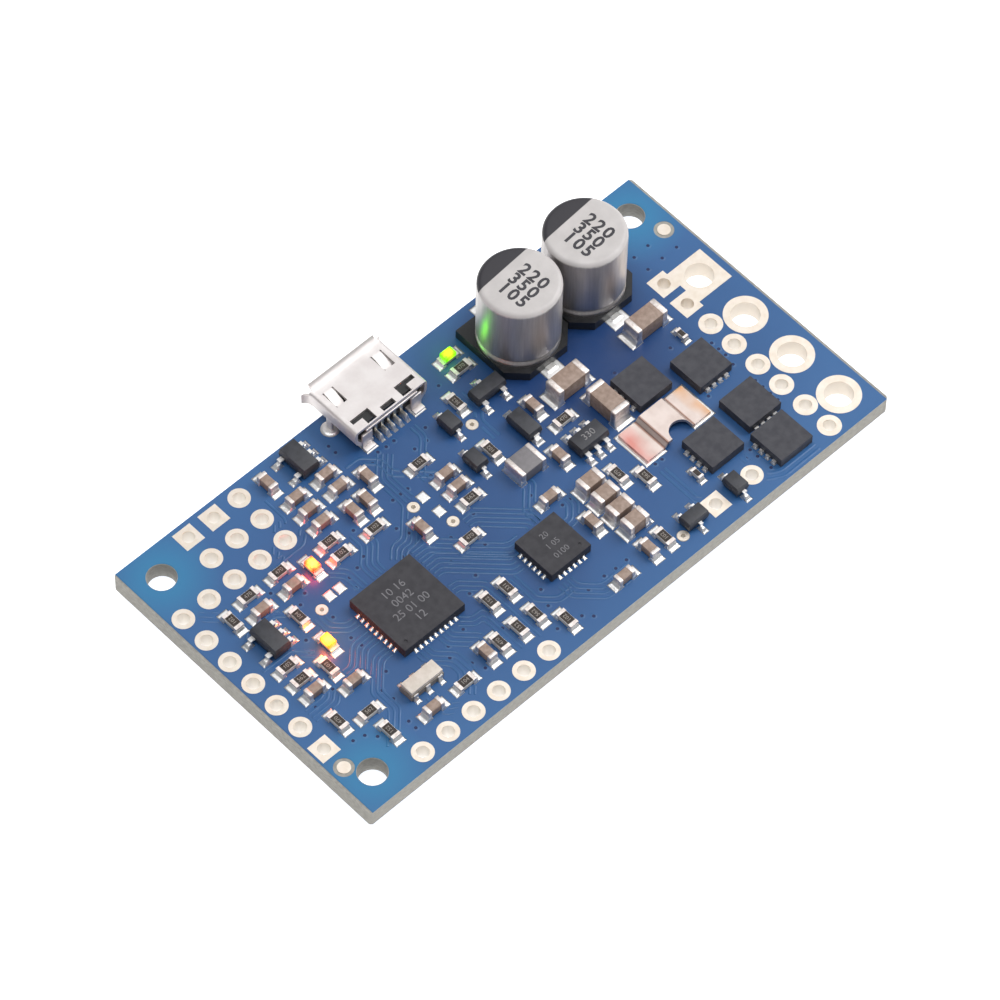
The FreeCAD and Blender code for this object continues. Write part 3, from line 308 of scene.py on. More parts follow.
def solder_mask(name, deep, pale):
    """Blue mask ink: clouded, paler at the rim as painted light, darker round one patch, bright at the screw
    holes.
    """
    material, tree, shader, place = start(name)
    cloud = mottle(tree, place, 6.0, detail=2.0)
    colour = blend(tree, cloud, deep, pale)
    across = add(tree, "VectorMath", {0: place, 1: (1 / (board_high.x * MM), 1 / (board_high.y * MM), 0)},
                 operation="MULTIPLY")
    outwards = add(tree, "VectorMath", {0: across.outputs[0]}, operation="LENGTH").outputs["Value"]
    # Painted light: the mask turns paler towards the board's rim, so its middle reads as shaded.
    rim = add(tree, "MapRange", {"Value": outwards, "From Min": PAINTED_LIGHT_RIM_START, "From Max": PAINTED_LIGHT_RIM_END,
                                 "To Min": FIRST, "To Max": SECOND})
    colour = blend(tree, rim.outputs[0], colour, "#35659a")
    # The mask turns darker round one point of the board.
    x, y, reach = DEEP_PATCH
    apart = add(tree, "VectorMath", {0: place, 1: (x * MM, y * MM, top * MM)}, operation="DISTANCE")
    near = add(tree, "MapRange", {"Value": apart.outputs["Value"], "From Min": reach * MM,
                                  "From Max": reach * MM / 2, "To Min": FIRST, "To Max": 0.63})
    colour = blend(tree, near.outputs[0], colour, "#09356b")
    for x, y in PLAIN_ZONES:
        apart = add(tree, "VectorMath", {0: place, 1: (x * MM, y * MM, top * MM)}, operation="DISTANCE")
        near = add(tree, "MapRange", {"Value": apart.outputs["Value"], "From Min": PLAIN_REACH * MM,
                                      "From Max": PLAIN_CORE * MM, "To Min": FIRST, "To Max": 0.52})
        colour = blend(tree, near.outputs[0], colour, "#2a87b2")
    tree.links.new(colour, shader.inputs["Base Color"])
    ripple = mottle(tree, place, 0.5, detail=3.0)
    bumped = add(tree, "Bump", {"Height": ripple, "Distance": 0.006 * MM, "Strength": 1.0})
    tree.links.new(bumped.outputs[0], shader.inputs["Normal"])
    gloss = add(tree, "MapRange", {"Value": ripple, "To Min": 0.26, "To Max": 0.4})
    tree.links.new(gloss.outputs[0], shader.inputs["Roughness"])
    shader.inputs["IOR"].default_value = 1.52
    return material


# Epoxy ink flooded over the board: a deep, glossy blue.
mask_ink = solder_mask("solder_mask_blue", "#224b7f", "#295489")
# The same ink lies thinner over a raised track, so more light comes back from the copper.
track_ink = solder_mask("solder_mask_over_copper", "#285483", "#305e8f")
# In a via the ink is deepest, so it is nearly black.
via_ink = surface("solder_mask_in_via", "#06194a", "#091f52", 0.2, (0.5, 0.6), 0.004, 0.1, IOR=1.52)
print("screw holes at", PLAIN_ZONES)

# %% [markdown]
# ## Finishing a piece
# Every piece goes through the same few steps: shrink to metres, face outwards, shade smoothly except at real
# corners and ride on the board.  Doing this in one place means that no piece can miss a step.

# %% From a bmesh to a piece
SMOOTH_UP_TO = 35


def piece(name, bm, material, replaces=(), angle=SMOOTH_UP_TO):
    """Turns drawn millimetres into a finished piece on the board."""
    bmesh.ops.scale(bm, vec=(MM, MM, MM), verts=bm.verts)
    bmesh.ops.recalc_face_normals(bm, faces=bm.faces)
    mesh = bpy.data.meshes.new(name)
    bm.to_mesh(mesh)
    bm.free()
    mesh.materials.append(material)
    mesh.shade_smooth()
    mesh.set_sharp_from_angle(angle=math.radians(angle))
    item = bpy.data.objects.new(name, mesh)
    bpy.context.scene.collection.objects.link(item)
    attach(item, "root")
    if replaces:
        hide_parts(*replaces)
    print(name, len(mesh.polygons), "faces")
    return item


print("corners sharper than", SMOOTH_UP_TO, "degrees stay crisp")

# %% [markdown]
# ## Mask sheet with openings
# The mask leaves every land bare.  Cutting hundreds of holes with booleans is slow and can fail, so the sheet
# is a filled two-dimensional curve: the outer line makes the sheet and each inner line a hole.  The holes
# follow the CAD lands, so nothing has to be fitted.

# %% Outlines of the openings
MASK = 0.03
END_SETBACK = 0.2
SCREW_CLEARANCE = 1.2
FIDUCIAL_OPENING = 0.8


def ring(x, y, radius, count=40):
    """Points of a circle."""
    return [(x + radius * math.cos(2 * math.pi * k / count), y + radius * math.sin(2 * math.pi * k / count))
            for k in range(count)]


def frame_round(low, high, extra=0.03):
    """A rectangle a little larger than a land."""
    return [(low.x - extra, low.y - extra), (high.x + extra, low.y - extra),
            (high.x + extra, high.y + extra), (low.x - extra, high.y + extra)]


def supply_opening():
    """The square supply land and its two fingers, a pitch apart."""
    low, high = corners("supply_terminal_pad")
    first, last = corners("power_terminal_pads")
    side = last.x - first.x
    terminal_pitch = (last.y - first.y - side) / 2
    middle = last.y - side / 2 + terminal_pitch
    finger = high.y - low.y - PITCH
    left = high.x - side
    points = [(left, middle - side / 2), (high.x, middle - side / 2), (high.x, middle + side / 2),
              (left, middle + side / 2)]
    for edge_y in (high.y, high.y - PITCH):
        points += [(left, edge_y), (low.x, edge_y), (low.x, edge_y - finger), (left, edge_y - finger)]
    return points


ROUND_HOLES = [("power_terminal_pads", 0.0), ("motor_output_pads", 0.0), ("test_points", 0.05),
               ("usb_leg_pads", 0.03)]


def plated_openings():
    """Outlines of every plated land that shows on both sides."""
    holes = []
    for node, extra in ROUND_HOLES:
        for low, high in solids(node):
            middle = (low + high) / 2
            holes.append(ring(middle.x, middle.y, (high.x - low.x) / 2 + extra))
    for node in ("header_pads", "switch_pads"):
        for low, high in solids(node):
            middle = (low + high) / 2
            if is_square(node, high):
                holes.append(frame_round(low, high, 0.0))
            else:
                holes.append(ring(middle.x, middle.y, (high.x - low.x) / 2))
    return holes


def is_square(node, high):
    """The first pin of each header has a square land: a vertex at its corner tells."""
    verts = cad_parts[node].data.vertices
    return any((vert.co.xy / MM - high.xy).length < 0.02 for vert in verts)


plated = plated_openings() + [supply_opening()]
print("plated openings", len(plated))

# %% Cut the sheets
def sheet(name, outlines, low, high, material):
    """A flat plate between two heights with holes."""
    curve = bpy.data.curves.new(name, "CURVE")
    curve.dimensions = "2D"
    curve.fill_mode = "BOTH"
    curve.extrude = (high - low) / 2
    for points in outlines:
        spline = curve.splines.new("POLY")
        spline.points.add(len(points) - 1)
        for point, (x, y) in zip(spline.points, points):
            point.co = (x, y, 0, 1)
        spline.use_cyclic_u = True
    holder = bpy.data.objects.new(name, curve)
    bpy.context.scene.collection.objects.link(holder)
    bpy.context.view_layer.update()
    mesh = bpy.data.meshes.new_from_object(holder.evaluated_get(bpy.context.evaluated_depsgraph_get()))
    bpy.data.objects.remove(holder)
    bm = bmesh.new()
    bm.from_mesh(mesh)
    bpy.data.meshes.remove(mesh)
    bmesh.ops.remove_doubles(bm, verts=bm.verts, dist=1e-4)
    bmesh.ops.translate(bm, vec=(0, 0, (low + high) / 2), verts=bm.verts)
    return piece(name, bm, material)


edge = [(board_low.x + END_SETBACK, board_low.y), (board_high.x - END_SETBACK, board_low.y),
        (board_high.x - END_SETBACK, board_high.y), (board_low.x + END_SETBACK, board_high.y)]
screws = [ring(x, y, SCREW_CLEARANCE) for x, y in PLAIN_ZONES]
fiducials = [ring((low.x + high.x) / 2, (low.y + high.y) / 2, FIDUCIAL_OPENING)
             for low, high in solids("fiducial_pads")]
lands = [frame_round(low, high) for low, high in
         solids("resistor_lands", "capacitor_lands", "device_lands", "spare_lands")]
sheet("solder_mask_top", [edge] + screws + plated + fiducials + lands, top, top + MASK, mask_ink)
sheet("solder_mask_bottom", [edge] + screws + plated, -MASK, 0.0, mask_ink)
print("openings on top", len(plated) + len(lands) + len(fiducials))

# %% [markdown]
# ## Copper tracks under the mask
# A track is a low ridge: 35 micrometres of copper under ink that rounds its edges.  A bump in the material
# could fake it, but real ridges catch the light along their sides from every angle.  Tracks run in bundles,
# so one given path is offset sideways for each member.  Every corner is rounded with a short arc, and a
# track stops where the mask is open.

# %% Offset and round a path
BEND_RADIUS, BEND_STEPS = 0.35, 4


def aside(path, shift):
    """The path moved sideways by shift, with its corners mitred."""
    points = [Vector(point) for point in path]
    heads = [(b - a).normalized() for a, b in zip(points, points[1:])]
    moved = [points[0] + Vector((-heads[0].y, heads[0].x)) * shift]
    for point, before, after in zip(points[1:-1], heads, heads[1:]):
        middle = (before + after).normalized()
        normal = Vector((-middle.y, middle.x))
        moved.append(point + normal * shift / max(0.3, middle.dot(before)))
    return moved + [points[-1] + Vector((-heads[-1].y, heads[-1].x)) * shift]


def rounded(points, radius=BEND_RADIUS, steps=BEND_STEPS):
    """Replaces each corner with a short quadratic arc."""
    smooth = [points[0]]
    for before, corner, after in zip(points, points[1:], points[2:]):
        reach = min(radius, (before - corner).length / 2, (after - corner).length / 2)
        first = corner + (before - corner).normalized() * reach
        last = corner + (after - corner).normalized() * reach
        for step in range(steps + 1):
            t = step / steps
            smooth.append(first * (1 - t) ** 2 + corner * 2 * t * (1 - t) + last * t ** 2)
    return smooth + [points[-1]]


print("tracks bend with a radius of about", BEND_RADIUS, "mm")

# %% Stop a track at an opening
CLEARANCE = 0.12
STRIDE = 0.12
reach = Vector((SCREW_CLEARANCE, SCREW_CLEARANCE, 0))
BARE_BOTH_SIDES = solids("header_pads", "switch_pads", "motor_output_pads", "power_terminal_pads",
                         "supply_terminal_pad", "test_points", "usb_leg_pads")
BARE_BOTH_SIDES += [(Vector((x, y, 0)) - reach, Vector((x, y, 0)) + reach) for x, y in PLAIN_ZONES]
BARE_ON_TOP = BARE_BOTH_SIDES + solids("fiducial_pads", "spare_lands", "resistor_lands", "capacitor_lands",
                                       "device_lands")


def is_bare(point, bare):
    """Whether a point lies on one of the bare places."""
    return any(low.x - CLEARANCE < point.x < high.x + CLEARANCE and
               low.y - CLEARANCE < point.y < high.y + CLEARANCE for low, high in bare)


def turns_at(before, point, after):
    """Whether a path bends at a point."""
    return abs((point - before).normalized().cross((after - point).normalized())) > 0.01


def clear_runs(points, bare):
    """The stretches of a path between openings, with points only at their ends and bends."""
    walk = [points[0]]
    for before, after in zip(points, points[1:]):
        pieces = max(1, math.ceil((after - before).length / STRIDE))
        walk += [before.lerp(after, step / pieces) for step in range(1, pieces + 1)]
    runs, run = [], []
    for point in walk:
        if is_bare(point, bare):
            runs.append(run)
            run = []
        else:
            run.append(point)
    runs.append(run)
    for run in runs:
        if len(run) > 3:
            bends = [point for before, point, after in zip(run, run[1:], run[2:])
                     if turns_at(before, point, after)]
            yield [run[0]] + bends + [run[-1]]


print("bare places", len(BARE_ON_TOP), "on top and", len(BARE_BOTH_SIDES), "below")

# %% Sweep a ridge
TRACK_HEIGHT = 0.035
RIDGE = [(-0.5, -0.1), (-0.34, 0.75), (-0.12, 1.0), (0.12, 1.0), (0.34, 0.75), (0.5, -0.1)]


def ridge(bm, points, width, floor, rise):
    """Sweeps a low rounded ridge along flat points; its feet sink a little into the mask."""
    rows = []
    for number, point in enumerate(points):
        before, after = points[max(number - 1, 0)], points[min(number + 1, len(points) - 1)]
        head = (after - before).normalized()
        side = Vector((-head.y, head.x))
        rows.append([bm.verts.new((*(point + side * width * across), floor + rise * up))
                     for across, up in RIDGE])
    for first, second in zip(rows, rows[1:]):
        for k in range(len(RIDGE) - 1):
            bm.faces.new((first[k], first[k + 1], second[k + 1], second[k]))
        bm.faces.new((first[0], second[0], second[-1], first[-1]))
    bm.faces.new(rows[0])
    bm.faces.new(rows[-1])


print("tracks stand", TRACK_HEIGHT, "mm above the mask")

# %% Routes on the top side
# Each bundle: how many tracks, their spacing and a path, in millimetres.
TOP_BUNDLES = [
    (5, 0.42, [(-9.2, -1.6), (-8.2, -1.6), (-4.4, -5.4), (-4.0, -5.4)]),
    (4, 0.4, [(-9.2, 0.2), (-7.9, 0.2), (-6.0, -1.7), (-6.0, -2.1), (-3.6, -4.4), (-2.4, -4.4)]),
    (5, 0.4, [(-4.4, -0.4), (-3.6, -0.4), (-0.6, -3.4), (-0.6, -4.0)]),
    (4, 0.4, [(-12.2, 0.6), (-12.2, 1.8), (-10.9, 3.1), (-10.9, 4.6)]),
    (3, 0.4, [(-13.9, 0.6), (-13.9, 2.4), (-15.0, 3.5)]),
    (4, 0.38, [(-10.3, 0.6), (-9.6, 1.3), (-8.6, 1.3), (-6.2, 3.7), (-6.2, 6.6), (-4.6, 8.2)]),
    (3, 0.4, [(-16.2, -1.2), (-17.0, -1.2), (-18.0, -0.2), (-18.0, 1.0)]),
    (4, 0.4, [(-16.2, -3.0), (-17.6, -3.0), (-18.9, -4.3), (-21.6, -4.3), (-22.2, -4.9), (-24.2, -4.9)]),
    (3, 0.4, [(-16.2, -4.7), (-17.3, -4.7), (-19.3, -6.7), (-19.3, -8.6), (-21.6, -10.9)]),
    (4, 0.4, [(-14.4, -6.3), (-14.4, -7.2), (-13.2, -8.4), (-13.2, -9.9), (-14.6, -11.3)]),
    (4, 0.4, [(-12.2, -6.3), (-12.2, -7.0), (-10.8, -8.4), (-10.8, -8.6)]),
    (3, 0.38, [(-10.7, -6.3), (-9.9, -7.1), (-9.0, -7.1), (-8.9, -8.0), (-8.9, -11.2)]),
    (3, 0.4, [(-9.2, -4.0), (-8.6, -4.0), (-7.2, -5.4), (-7.2, -8.2), (-7.2, -11.4)]),
    (2, 0.45, [(-5.2, -6.2), (-5.2, -8.8), (-4.0, -10.0), (-2.6, -10.0)]),
    (4, 0.42, [(-2.6, -9.2), (-2.6, -10.2), (-1.0, -11.8), (2.0, -11.8)]),
    (3, 0.42, [(0.9, -5.6), (1.6, -5.6), (2.6, -4.6), (2.6, -3.9)]),
    (3, 0.42, [(-0.2, -4.0), (-0.2, -2.8), (1.4, -1.2), (1.4, -0.9)]),
    (2, 0.4, [(-3.9, 4.4), (-3.9, 4.9), (-1.4, 7.4), (-1.4, 8.6)]),
    (3, 0.4, [(-24.4, 7.0), (-23.0, 5.6), (-23.0, 3.2)]),
    (2, 0.45, [(-24.2, 2.54), (-23.6, 2.54), (-22.6, 3.4), (-20.2, 3.4), (-19.6, 2.8)]),
    (2, 0.45, [(-24.2, 0.0), (-21.6, 0.0), (-20.4, -1.2)]),
    (2, 0.45, [(-16.6, 6.6), (-14.6, 6.6), (-13.4, 7.6)]),
    (3, 0.4, [(-17.8, 6.7), (-16.8, 6.7), (-14.4, 9.1), (-14.4, 11.2)]),
    (2, 0.5, [(-7.6, 9.0), (-6.4, 9.0), (-5.4, 8.0), (-5.4, 6.6), (-2.2, 3.4)]),
    (2, 0.5, [(3.2, 8.3), (3.2, 6.2), (2.6, 5.6), (2.6, 3.6)]),
    (2, 0.5, [(-20.3, -11.6), (-20.3, -12.0)]),
    (3, 0.42, [(-16.6, -9.6), (-16.6, -11.2), (-15.6, -11.8)]),
    (2, 0.45, [(9.6, -7.0), (9.6, -10.6), (9.9, -10.9)]),
    (2, 0.5, [(14.9, -10.2), (14.9, -12.8), (16.0, -13.4), (19.6, -13.4)]),
]


def tracks(name, bundles, bare, floor, rise):
    """Ridges for all the bundles on one side."""
    bm = bmesh.new()
    for count, gap, path in bundles:
        for number in range(count):
            shift = (number - (count - 1) / 2) * gap
            for run in clear_runs(rounded(aside(path, shift)), bare):
                ridge(bm, run, gap * 0.55, floor, rise)
    return piece(name, bm, track_ink, angle=70)


tracks("copper_tracks_top", TOP_BUNDLES, BARE_ON_TOP, top + MASK, TRACK_HEIGHT)

# %% [markdown]
# ## Tented vias
# A via is a plated hole 0.3 mm across that joins the two copper layers.  Ink closes it and sinks a little, so
# each shows as a dark dot with a faint raised rim.  A small turned rim and a darker middle are enough.

# %% Vias
VIAS = [
    (21.64, 8.4), (23.19, 8.48), (21.64, 6.88), (23.17, 6.9), (24.69, 6.88), (-20.56, -0.77), (-17.48, -1.98),
    (-17.36, -2.96), (-23.43, -4.6), (-21.48, -4.3), (-17.59, -5.85), (-18.9, -6.86), (-18.8, -7.93),
    (-23.38, -8.55), (-22.45, -8.8), (-21.83, -9.5), (-19.29, -10.1), (-19.3, -10.86), (-13.38, -8.2),
    (-18.27, 2.66), (-20.05, 0.12), (-17.35, 3.2), (-14.0, 1.93), (-14.26, 1.0), (-17.24, 0.24), (-19.2, 4.9),
    (-7.57, -2.17), (-4.67, -2.76), (-7.05, -4.26), (-8.48, -5.12), (-10.97, -7.07), (-12.76, -7.38),
    (-8.76, -8.96), (-12.5, -9.62), (-12.07, -10.6), (-4.97, -9.85), (-5.86, -11.76), (-3.76, -12.17),
    (-3.14, -12.79), (-1.83, -10.88), (-4.38, -8.45), (-7.22, 11.57), (-7.22, 10.8), (-5.86, 8.2),
    (-4.88, 8.67), (-4.1, 8.6), (-3.3, 8.6), (-2.67, 7.0), (-1.5, 6.95), (-0.76, 7.86), (-7.0, 4.76),
    (-6.2, 4.76), (-5.48, 4.76), (-8.52, 2.74), (-11.98, 2.6), (-13.0, 2.19), (-9.9, 0.62), (-3.43, -0.2),
    (-6.1, -0.6), (-8.1, 1.8), (-10.97, 4.8), (-3.43, 4.43), (0.81, -1.93), (1.95, -4.17), (2.7, -4.17),
    (9.57, -6.26), (10.24, -6.3), (-0.14, -10.8), (0.95, -10.9), (2.05, -10.9), (2.57, 9.95), (15.1, -10.55),
    (15.67, -10.2), (15.67, -11.0), (15.7, -12.4), (20.2, -3.8), (16.8, -4.6), (17.78, 0.52), (13.1, 1.74),
]
VIAS += [(20.4, -1.3 - 0.75 * step) for step in range(3)] + [(20.4, -6.0 - 0.8 * step) for step in range(4)]


VIA_BORE, VIA_CREST, VIA_RIM = 0.13, 0.19, 0.27
VIA_HEIGHT = 0.02


def lathe(bm, profile, x, y, steps=64):
    """Turns (radius, height) points about an upright axis at x, y; ends on the axis close the shape."""
    rings = []
    for radius, z in profile:
        if radius < 1e-6:
            rings.append([bm.verts.new((x, y, z))])
            continue
        turns = [2 * math.pi * step / steps for step in range(steps)]
        rings.append([bm.verts.new((x + radius * math.cos(a), y + radius * math.sin(a), z)) for a in turns])
    for below, above in zip(rings, rings[1:]):
        for step in range(steps):
            after = (step + 1) % steps
            loop = [below[step % len(below)], below[after % len(below)],
                    above[after % len(above)], above[step % len(above)]]
            face = list(dict.fromkeys(loop))
            if len(face) > 2:
                bm.faces.new(face)


def vias(name, floor, side):
    """Rims and dark middles; side is 1 on top and -1 below."""
    rims, middles = bmesh.new(), bmesh.new()
    rise = side * VIA_HEIGHT
    for x, y in VIAS:
        lathe(rims, [(VIA_BORE, floor + 0.6 * rise), (VIA_CREST, floor + rise),
                     (VIA_RIM, floor - 0.1 * rise)], x, y, 14)
        lathe(middles, [(0.0, floor + 0.3 * rise), (VIA_BORE + 0.01, floor + 0.65 * rise)], x, y, 14)
    piece(f"{name}_rims", rims, track_ink, angle=80)
    piece(f"{name}_middles", middles, via_ink, angle=80)


vias("vias_top", top + MASK, 1)
vias("vias_bottom", -MASK, -1)
print("vias", len(VIAS))

# %% [markdown]
# ## Underside
# The other side carries more tracks and no parts: the plated lands show through the mask, and a few wide
# bundles run from end to end.  The same sweep makes them, turned downwards.

# %% Routes on the underside
BOTTOM_BUNDLES = [
    (5, 0.5, [(-22.0, 1.0), (-16.0, 1.0), (-12.0, 5.0), (2.0, 5.0), (6.0, 1.0), (14.0, 1.0)]),
    (4, 0.5, [(-24.0, -5.0), (-18.0, -5.0), (-13.0, -10.0), (-2.0, -10.0), (2.0, -6.0), (8.0, -6.0)]),
    (3, 0.5, [(-17.0, 10.5), (-4.0, 10.5), (1.0, 7.5), (12.0, 7.5), (16.0, 3.5)]),
    (3, 0.5, [(-20.0, -1.5), (-14.0, -1.5), (-9.0, -6.5), (0.0, -6.5)]),
    (4, 0.6, [(10.0, -10.5), (3.0, -10.5), (-1.0, -12.5), (-18.0, -12.5)]),
    (4, 0.5, [(4.0, -2.0), (8.0, 2.0), (8.0, 5.0), (11.0, 8.0), (18.0, 8.0)]),
]
tracks("copper_tracks_bottom", BOTTOM_BUNDLES, BARE_BOTH_SIDES, -MASK, -TRACK_HEIGHT)

# %% [markdown]
# ## Solder
# Molten solder wets the land, climbs the metal and freezes in a hollow curve.  A flat plate would look like
# paper, and a melt simulation is far too heavy for hundreds of joints.  So each joint is a small height field
# over its land: thin at the border and rising towards every metal end that stands on it.  Chance varies the
# climb, as no two real joints are alike.

# %% Height of a joint
CELL = 0.075
FILM = 0.055
BORDER = 0.1


def away(x, y, low, high):
    """Flat distance from a point to a box seen from above."""
    return math.hypot(max(low.x - x, 0, x - high.x), max(low.y - y, 0, y - high.y))


def joint(bm, land, metals, climb, reach):
    """One solder joint as a closed lump over a land."""
    low, high = land
    nx = max(4, math.ceil((high.x - low.x) / CELL))
    ny = max(4, math.ceil((high.y - low.y) / CELL))
    lift = climb * chance.uniform(0.85, 1.1)
    spread = reach * chance.uniform(0.9, 1.15)
    grid = []
    for i in range(nx + 1):
        row = []
        for j in range(ny + 1):
            x = low.x + (high.x - low.x) * i / nx
            y = low.y + (high.y - low.y) * j / ny
            border = min(x - low.x, high.x - x, y - low.y, high.y - y)
            skirt = min(1.0, border / BORDER + 0.25)
            height = FILM * math.sin(skirt * math.pi / 2)
            for metal_low, metal_high in metals:
                d = away(x, y, metal_low, metal_high)
                rise = (metal_high.z - low.z) * lift
                if d < spread:
                    height += rise * (1 - d / spread) ** 2.2 * min(1.0, border / 0.12 + 0.15)
            row.append(bm.verts.new((x, y, low.z + height)))
        grid.append(row)
    for i in range(nx):
        for j in range(ny):
            bm.faces.new((grid[i][j], grid[i + 1][j], grid[i + 1][j + 1], grid[i][j + 1]))
    rim = [grid[i][0] for i in range(nx + 1)] + [grid[nx][j] for j in range(1, ny + 1)]
    rim += [grid[i][ny] for i in range(nx - 1, -1, -1)] + [grid[0][j] for j in range(ny - 1, 0, -1)]
    foot = [bm.verts.new((vert.co.x, vert.co.y, low.z + 0.002)) for vert in rim]
    for k in range(len(rim)):
        after = (k + 1) % len(rim)
        bm.faces.new((rim[k], foot[k], foot[after], rim[after]))
    bm.faces.new(foot)


print("solder film", FILM, "mm thick on a grid of", CELL, "mm")

# %% Joints on all the lands
def overlaps(first, second):
    """Whether two boxes overlap, seen from above."""
    return all(first[0][axis] < second[1][axis] and second[0][axis] < first[1][axis] for axis in (0, 1))


def joints(name, land_nodes, metal_nodes, climb, reach):
    """Solder on every land of some nodes, risen against the metal that stands there."""
    bm = bmesh.new()
    metals = solids(*metal_nodes)
    for land in solids(*land_nodes):
        standing = [metal for metal in metals if overlaps(land, metal)]
        joint(bm, land, standing, climb, reach)
    return piece(name, bm, solder, replaces=land_nodes, angle=75)


joints("solder_on_resistors", ["resistor_lands"], ["resistor_terminations"], 0.55, 0.24)
joints("solder_on_capacitors", ["capacitor_lands"],
       ["ceramic_capacitor_0603_terminations", "ceramic_capacitor_0805_terminations",
        "ceramic_capacitor_1206_terminations", "inductor_terminations"], 0.36, 0.24)
joints("solder_on_devices", ["device_lands"],
       ["small_outline_leads", "microcontroller_terminals", "gate_driver_terminals", "mosfet_terminals",
        "led_terminations", "resonator_terminals", "capacitor_leads", "usb_contacts"], 0.45, 0.22)
joints("solder_on_spare_lands", ["spare_lands"], ["led_terminations"], 0.1, 0.1)

# %% [markdown]
# ## Chip parts
# Ceramic capacitors are tumbled before plating, so their edges are round and their ends swell a little; a
# bevelled block in each solid's box gives that.  Resistors are snapped from a plate, so their edges stay
# crisp and the CAD solids serve as they are.

# %% Rounded chips
def block(bm, low, high, radius=0.0, segments=2):
    """A box from corner to corner with rounded edges."""
    low, high = Vector(low), Vector(high)
    shape = Matrix.LocRotScale((low + high) / 2, None, high - low)
    verts = bmesh.ops.create_cube(bm, size=1, matrix=shape)["verts"]
    if radius:
        edges = list({edge for vert in verts for edge in vert.link_edges})
        bmesh.ops.bevel(bm, geom=edges, offset=radius, segments=segments, profile=0.5, affect="EDGES")


def dress(material, *nodes):
    """Gives carried-over CAD nodes their finish."""
    for node in nodes:
        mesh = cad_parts[node].data
        mesh.materials.clear()
        mesh.materials.append(material)
    print(material.name, "on", ", ".join(nodes))


def chips(name, node, material, radius):
    """A rounded block for each solid of a node."""
    bm = bmesh.new()
    for low, high in solids(node):
        block(bm, low, high, radius, 3)
    return piece(name, bm, material, replaces=[node], angle=60)


for size, round_off in (("0603", 0.06), ("0805", 0.09), ("1206", 0.12)):
    chips(f"ceramic_block_{size}", f"ceramic_capacitor_{size}_bodies", dielectric, 0.04)
    chips(f"ceramic_ends_{size}", f"ceramic_capacitor_{size}_terminations", chip_end, round_off)
chips("inductor_block", "inductor_bodies", ferrite, 0.06)
chips("inductor_ends", "inductor_terminations", chip_end, 0.1)
dress(alumina, "resistor_plates")
dress(overglaze, "resistor_coats")
dress(chip_end, "resistor_terminations", "led_terminations")

# %% [markdown]
# ## Printed digits
# Value codes are plain numbers, pale on dark parts and dark on the cans.  An image could carry them, but it
# would need a picture file and blur close up.  Each is a text curve turned to a thin mesh and laid on its
# part.

# %% Digits
def digits(bm, text, size, x, y, z, turn, thick=0.006, bold=0.0, spacing=1.0):
    """Adds raised text centred on x, y, turned about +Z."""
    curve = bpy.data.curves.new("digits", "FONT")
    curve.body = text
    curve.size = size
    curve.extrude = thick / 2
    curve.align_x = "CENTER"
    curve.align_y = "CENTER"
    curve.resolution_u = 3
    curve.offset = bold
    curve.space_character = spacing
    holder = bpy.data.objects.new("digits", curve)
    bpy.context.scene.collection.objects.link(holder)
    bpy.context.view_layer.update()
    mesh = bpy.data.meshes.new_from_object(holder.evaluated_get(bpy.context.evaluated_depsgraph_get()))
    mesh.transform(Matrix.Translation((x, y, z)) @ Matrix.Rotation(turn, 4, "Z"))
    bm.from_mesh(mesh)
    bpy.data.meshes.remove(mesh)
    bpy.data.objects.remove(holder)
    bpy.data.curves.remove(curve)


CODES = ["470", "103", "102", "152", "331", "104", "562"]
# Codes fired into the resistors' glass: a faint grey.
code_print = surface("resistor_code_grey", "#a79f98", "#8b837c", 0.1, (0.5, 0.6), 0.003, 0.05, IOR=1.5)
bm = bmesh.new()
for low, high in solids("resistor_coats"):
    long_x = high.x - low.x > high.y - low.y
    if max(high.x - low.x, high.y - low.y) > 0.8:
        middle = (low + high) / 2
        digits(bm, chance.choice(CODES), 0.46, middle.x, middle.y, high.z + 0.002,
               0 if long_x else math.pi / 2)
piece("resistor_codes", bm, code_print, angle=30)

# %% [markdown]
# ## Moulded packages
# A small package is pressed in a two-part mould, so its sides lean in above and below a parting line, or it
# would not come out.  Three rings of corners, bridged and bevelled, show it.

# %% Packages with draft
def drafted(bm, low, high, lean=0.09, waist=0.5, radius=0.03):
    """A moulded body with sloping sides above and below its parting line."""
    levels = [(low.z, lean), (low.z + (high.z - low.z) * waist, 0), (high.z, lean)]
    rings = []
    for z, inset in levels:
        corner = [(low.x + inset, low.y + inset), (high.x - inset, low.y + inset),
                  (high.x - inset, high.y - inset), (low.x + inset, high.y - inset)]
        rings.append([bm.verts.new((x, y, z)) for x, y in corner])
    faces = [bm.faces.new(rings[0]), bm.faces.new(rings[-1])]
    for below, above in zip(rings, rings[1:]):
        faces += [bm.faces.new((below[k], below[(k + 1) % 4], above[(k + 1) % 4], above[k]))
                  for k in range(4)]
    edges = list({line for face in faces for line in face.edges})
    bmesh.ops.bevel(bm, geom=edges, offset=radius, segments=2, profile=0.5, affect="EDGES")


MOULDED = ["five_lead_chip_bodies", "six_lead_chip_body", "transistor_body", "small_transistor_body",
           "diode_bodies"]
for node in MOULDED:
    bm = bmesh.new()
    for low, high in solids(node):
        drafted(bm, low, high)
    piece(f"moulded_{node}", bm, small_moulding, replaces=[node], angle=50)
dress(tin_lead, "small_outline_leads", "microcontroller_terminals", "gate_driver_terminals",
      "mosfet_terminals", "capacitor_leads", "resonator_terminals")
dress(fine_moulding, "microcontroller_body", "gate_driver_body")
dress(moulding, *[f"mosfet_{number}_body" for number in range(1, 6)])

# %% Faint codes on the packages
# A laser scorches the moulding: a faint, matt grey.
laser = surface("laser_mark_grey", "#7d7c80", "#6a696d", 0.2, (0.6, 0.7), 0.003, 0.05, IOR=1.5)
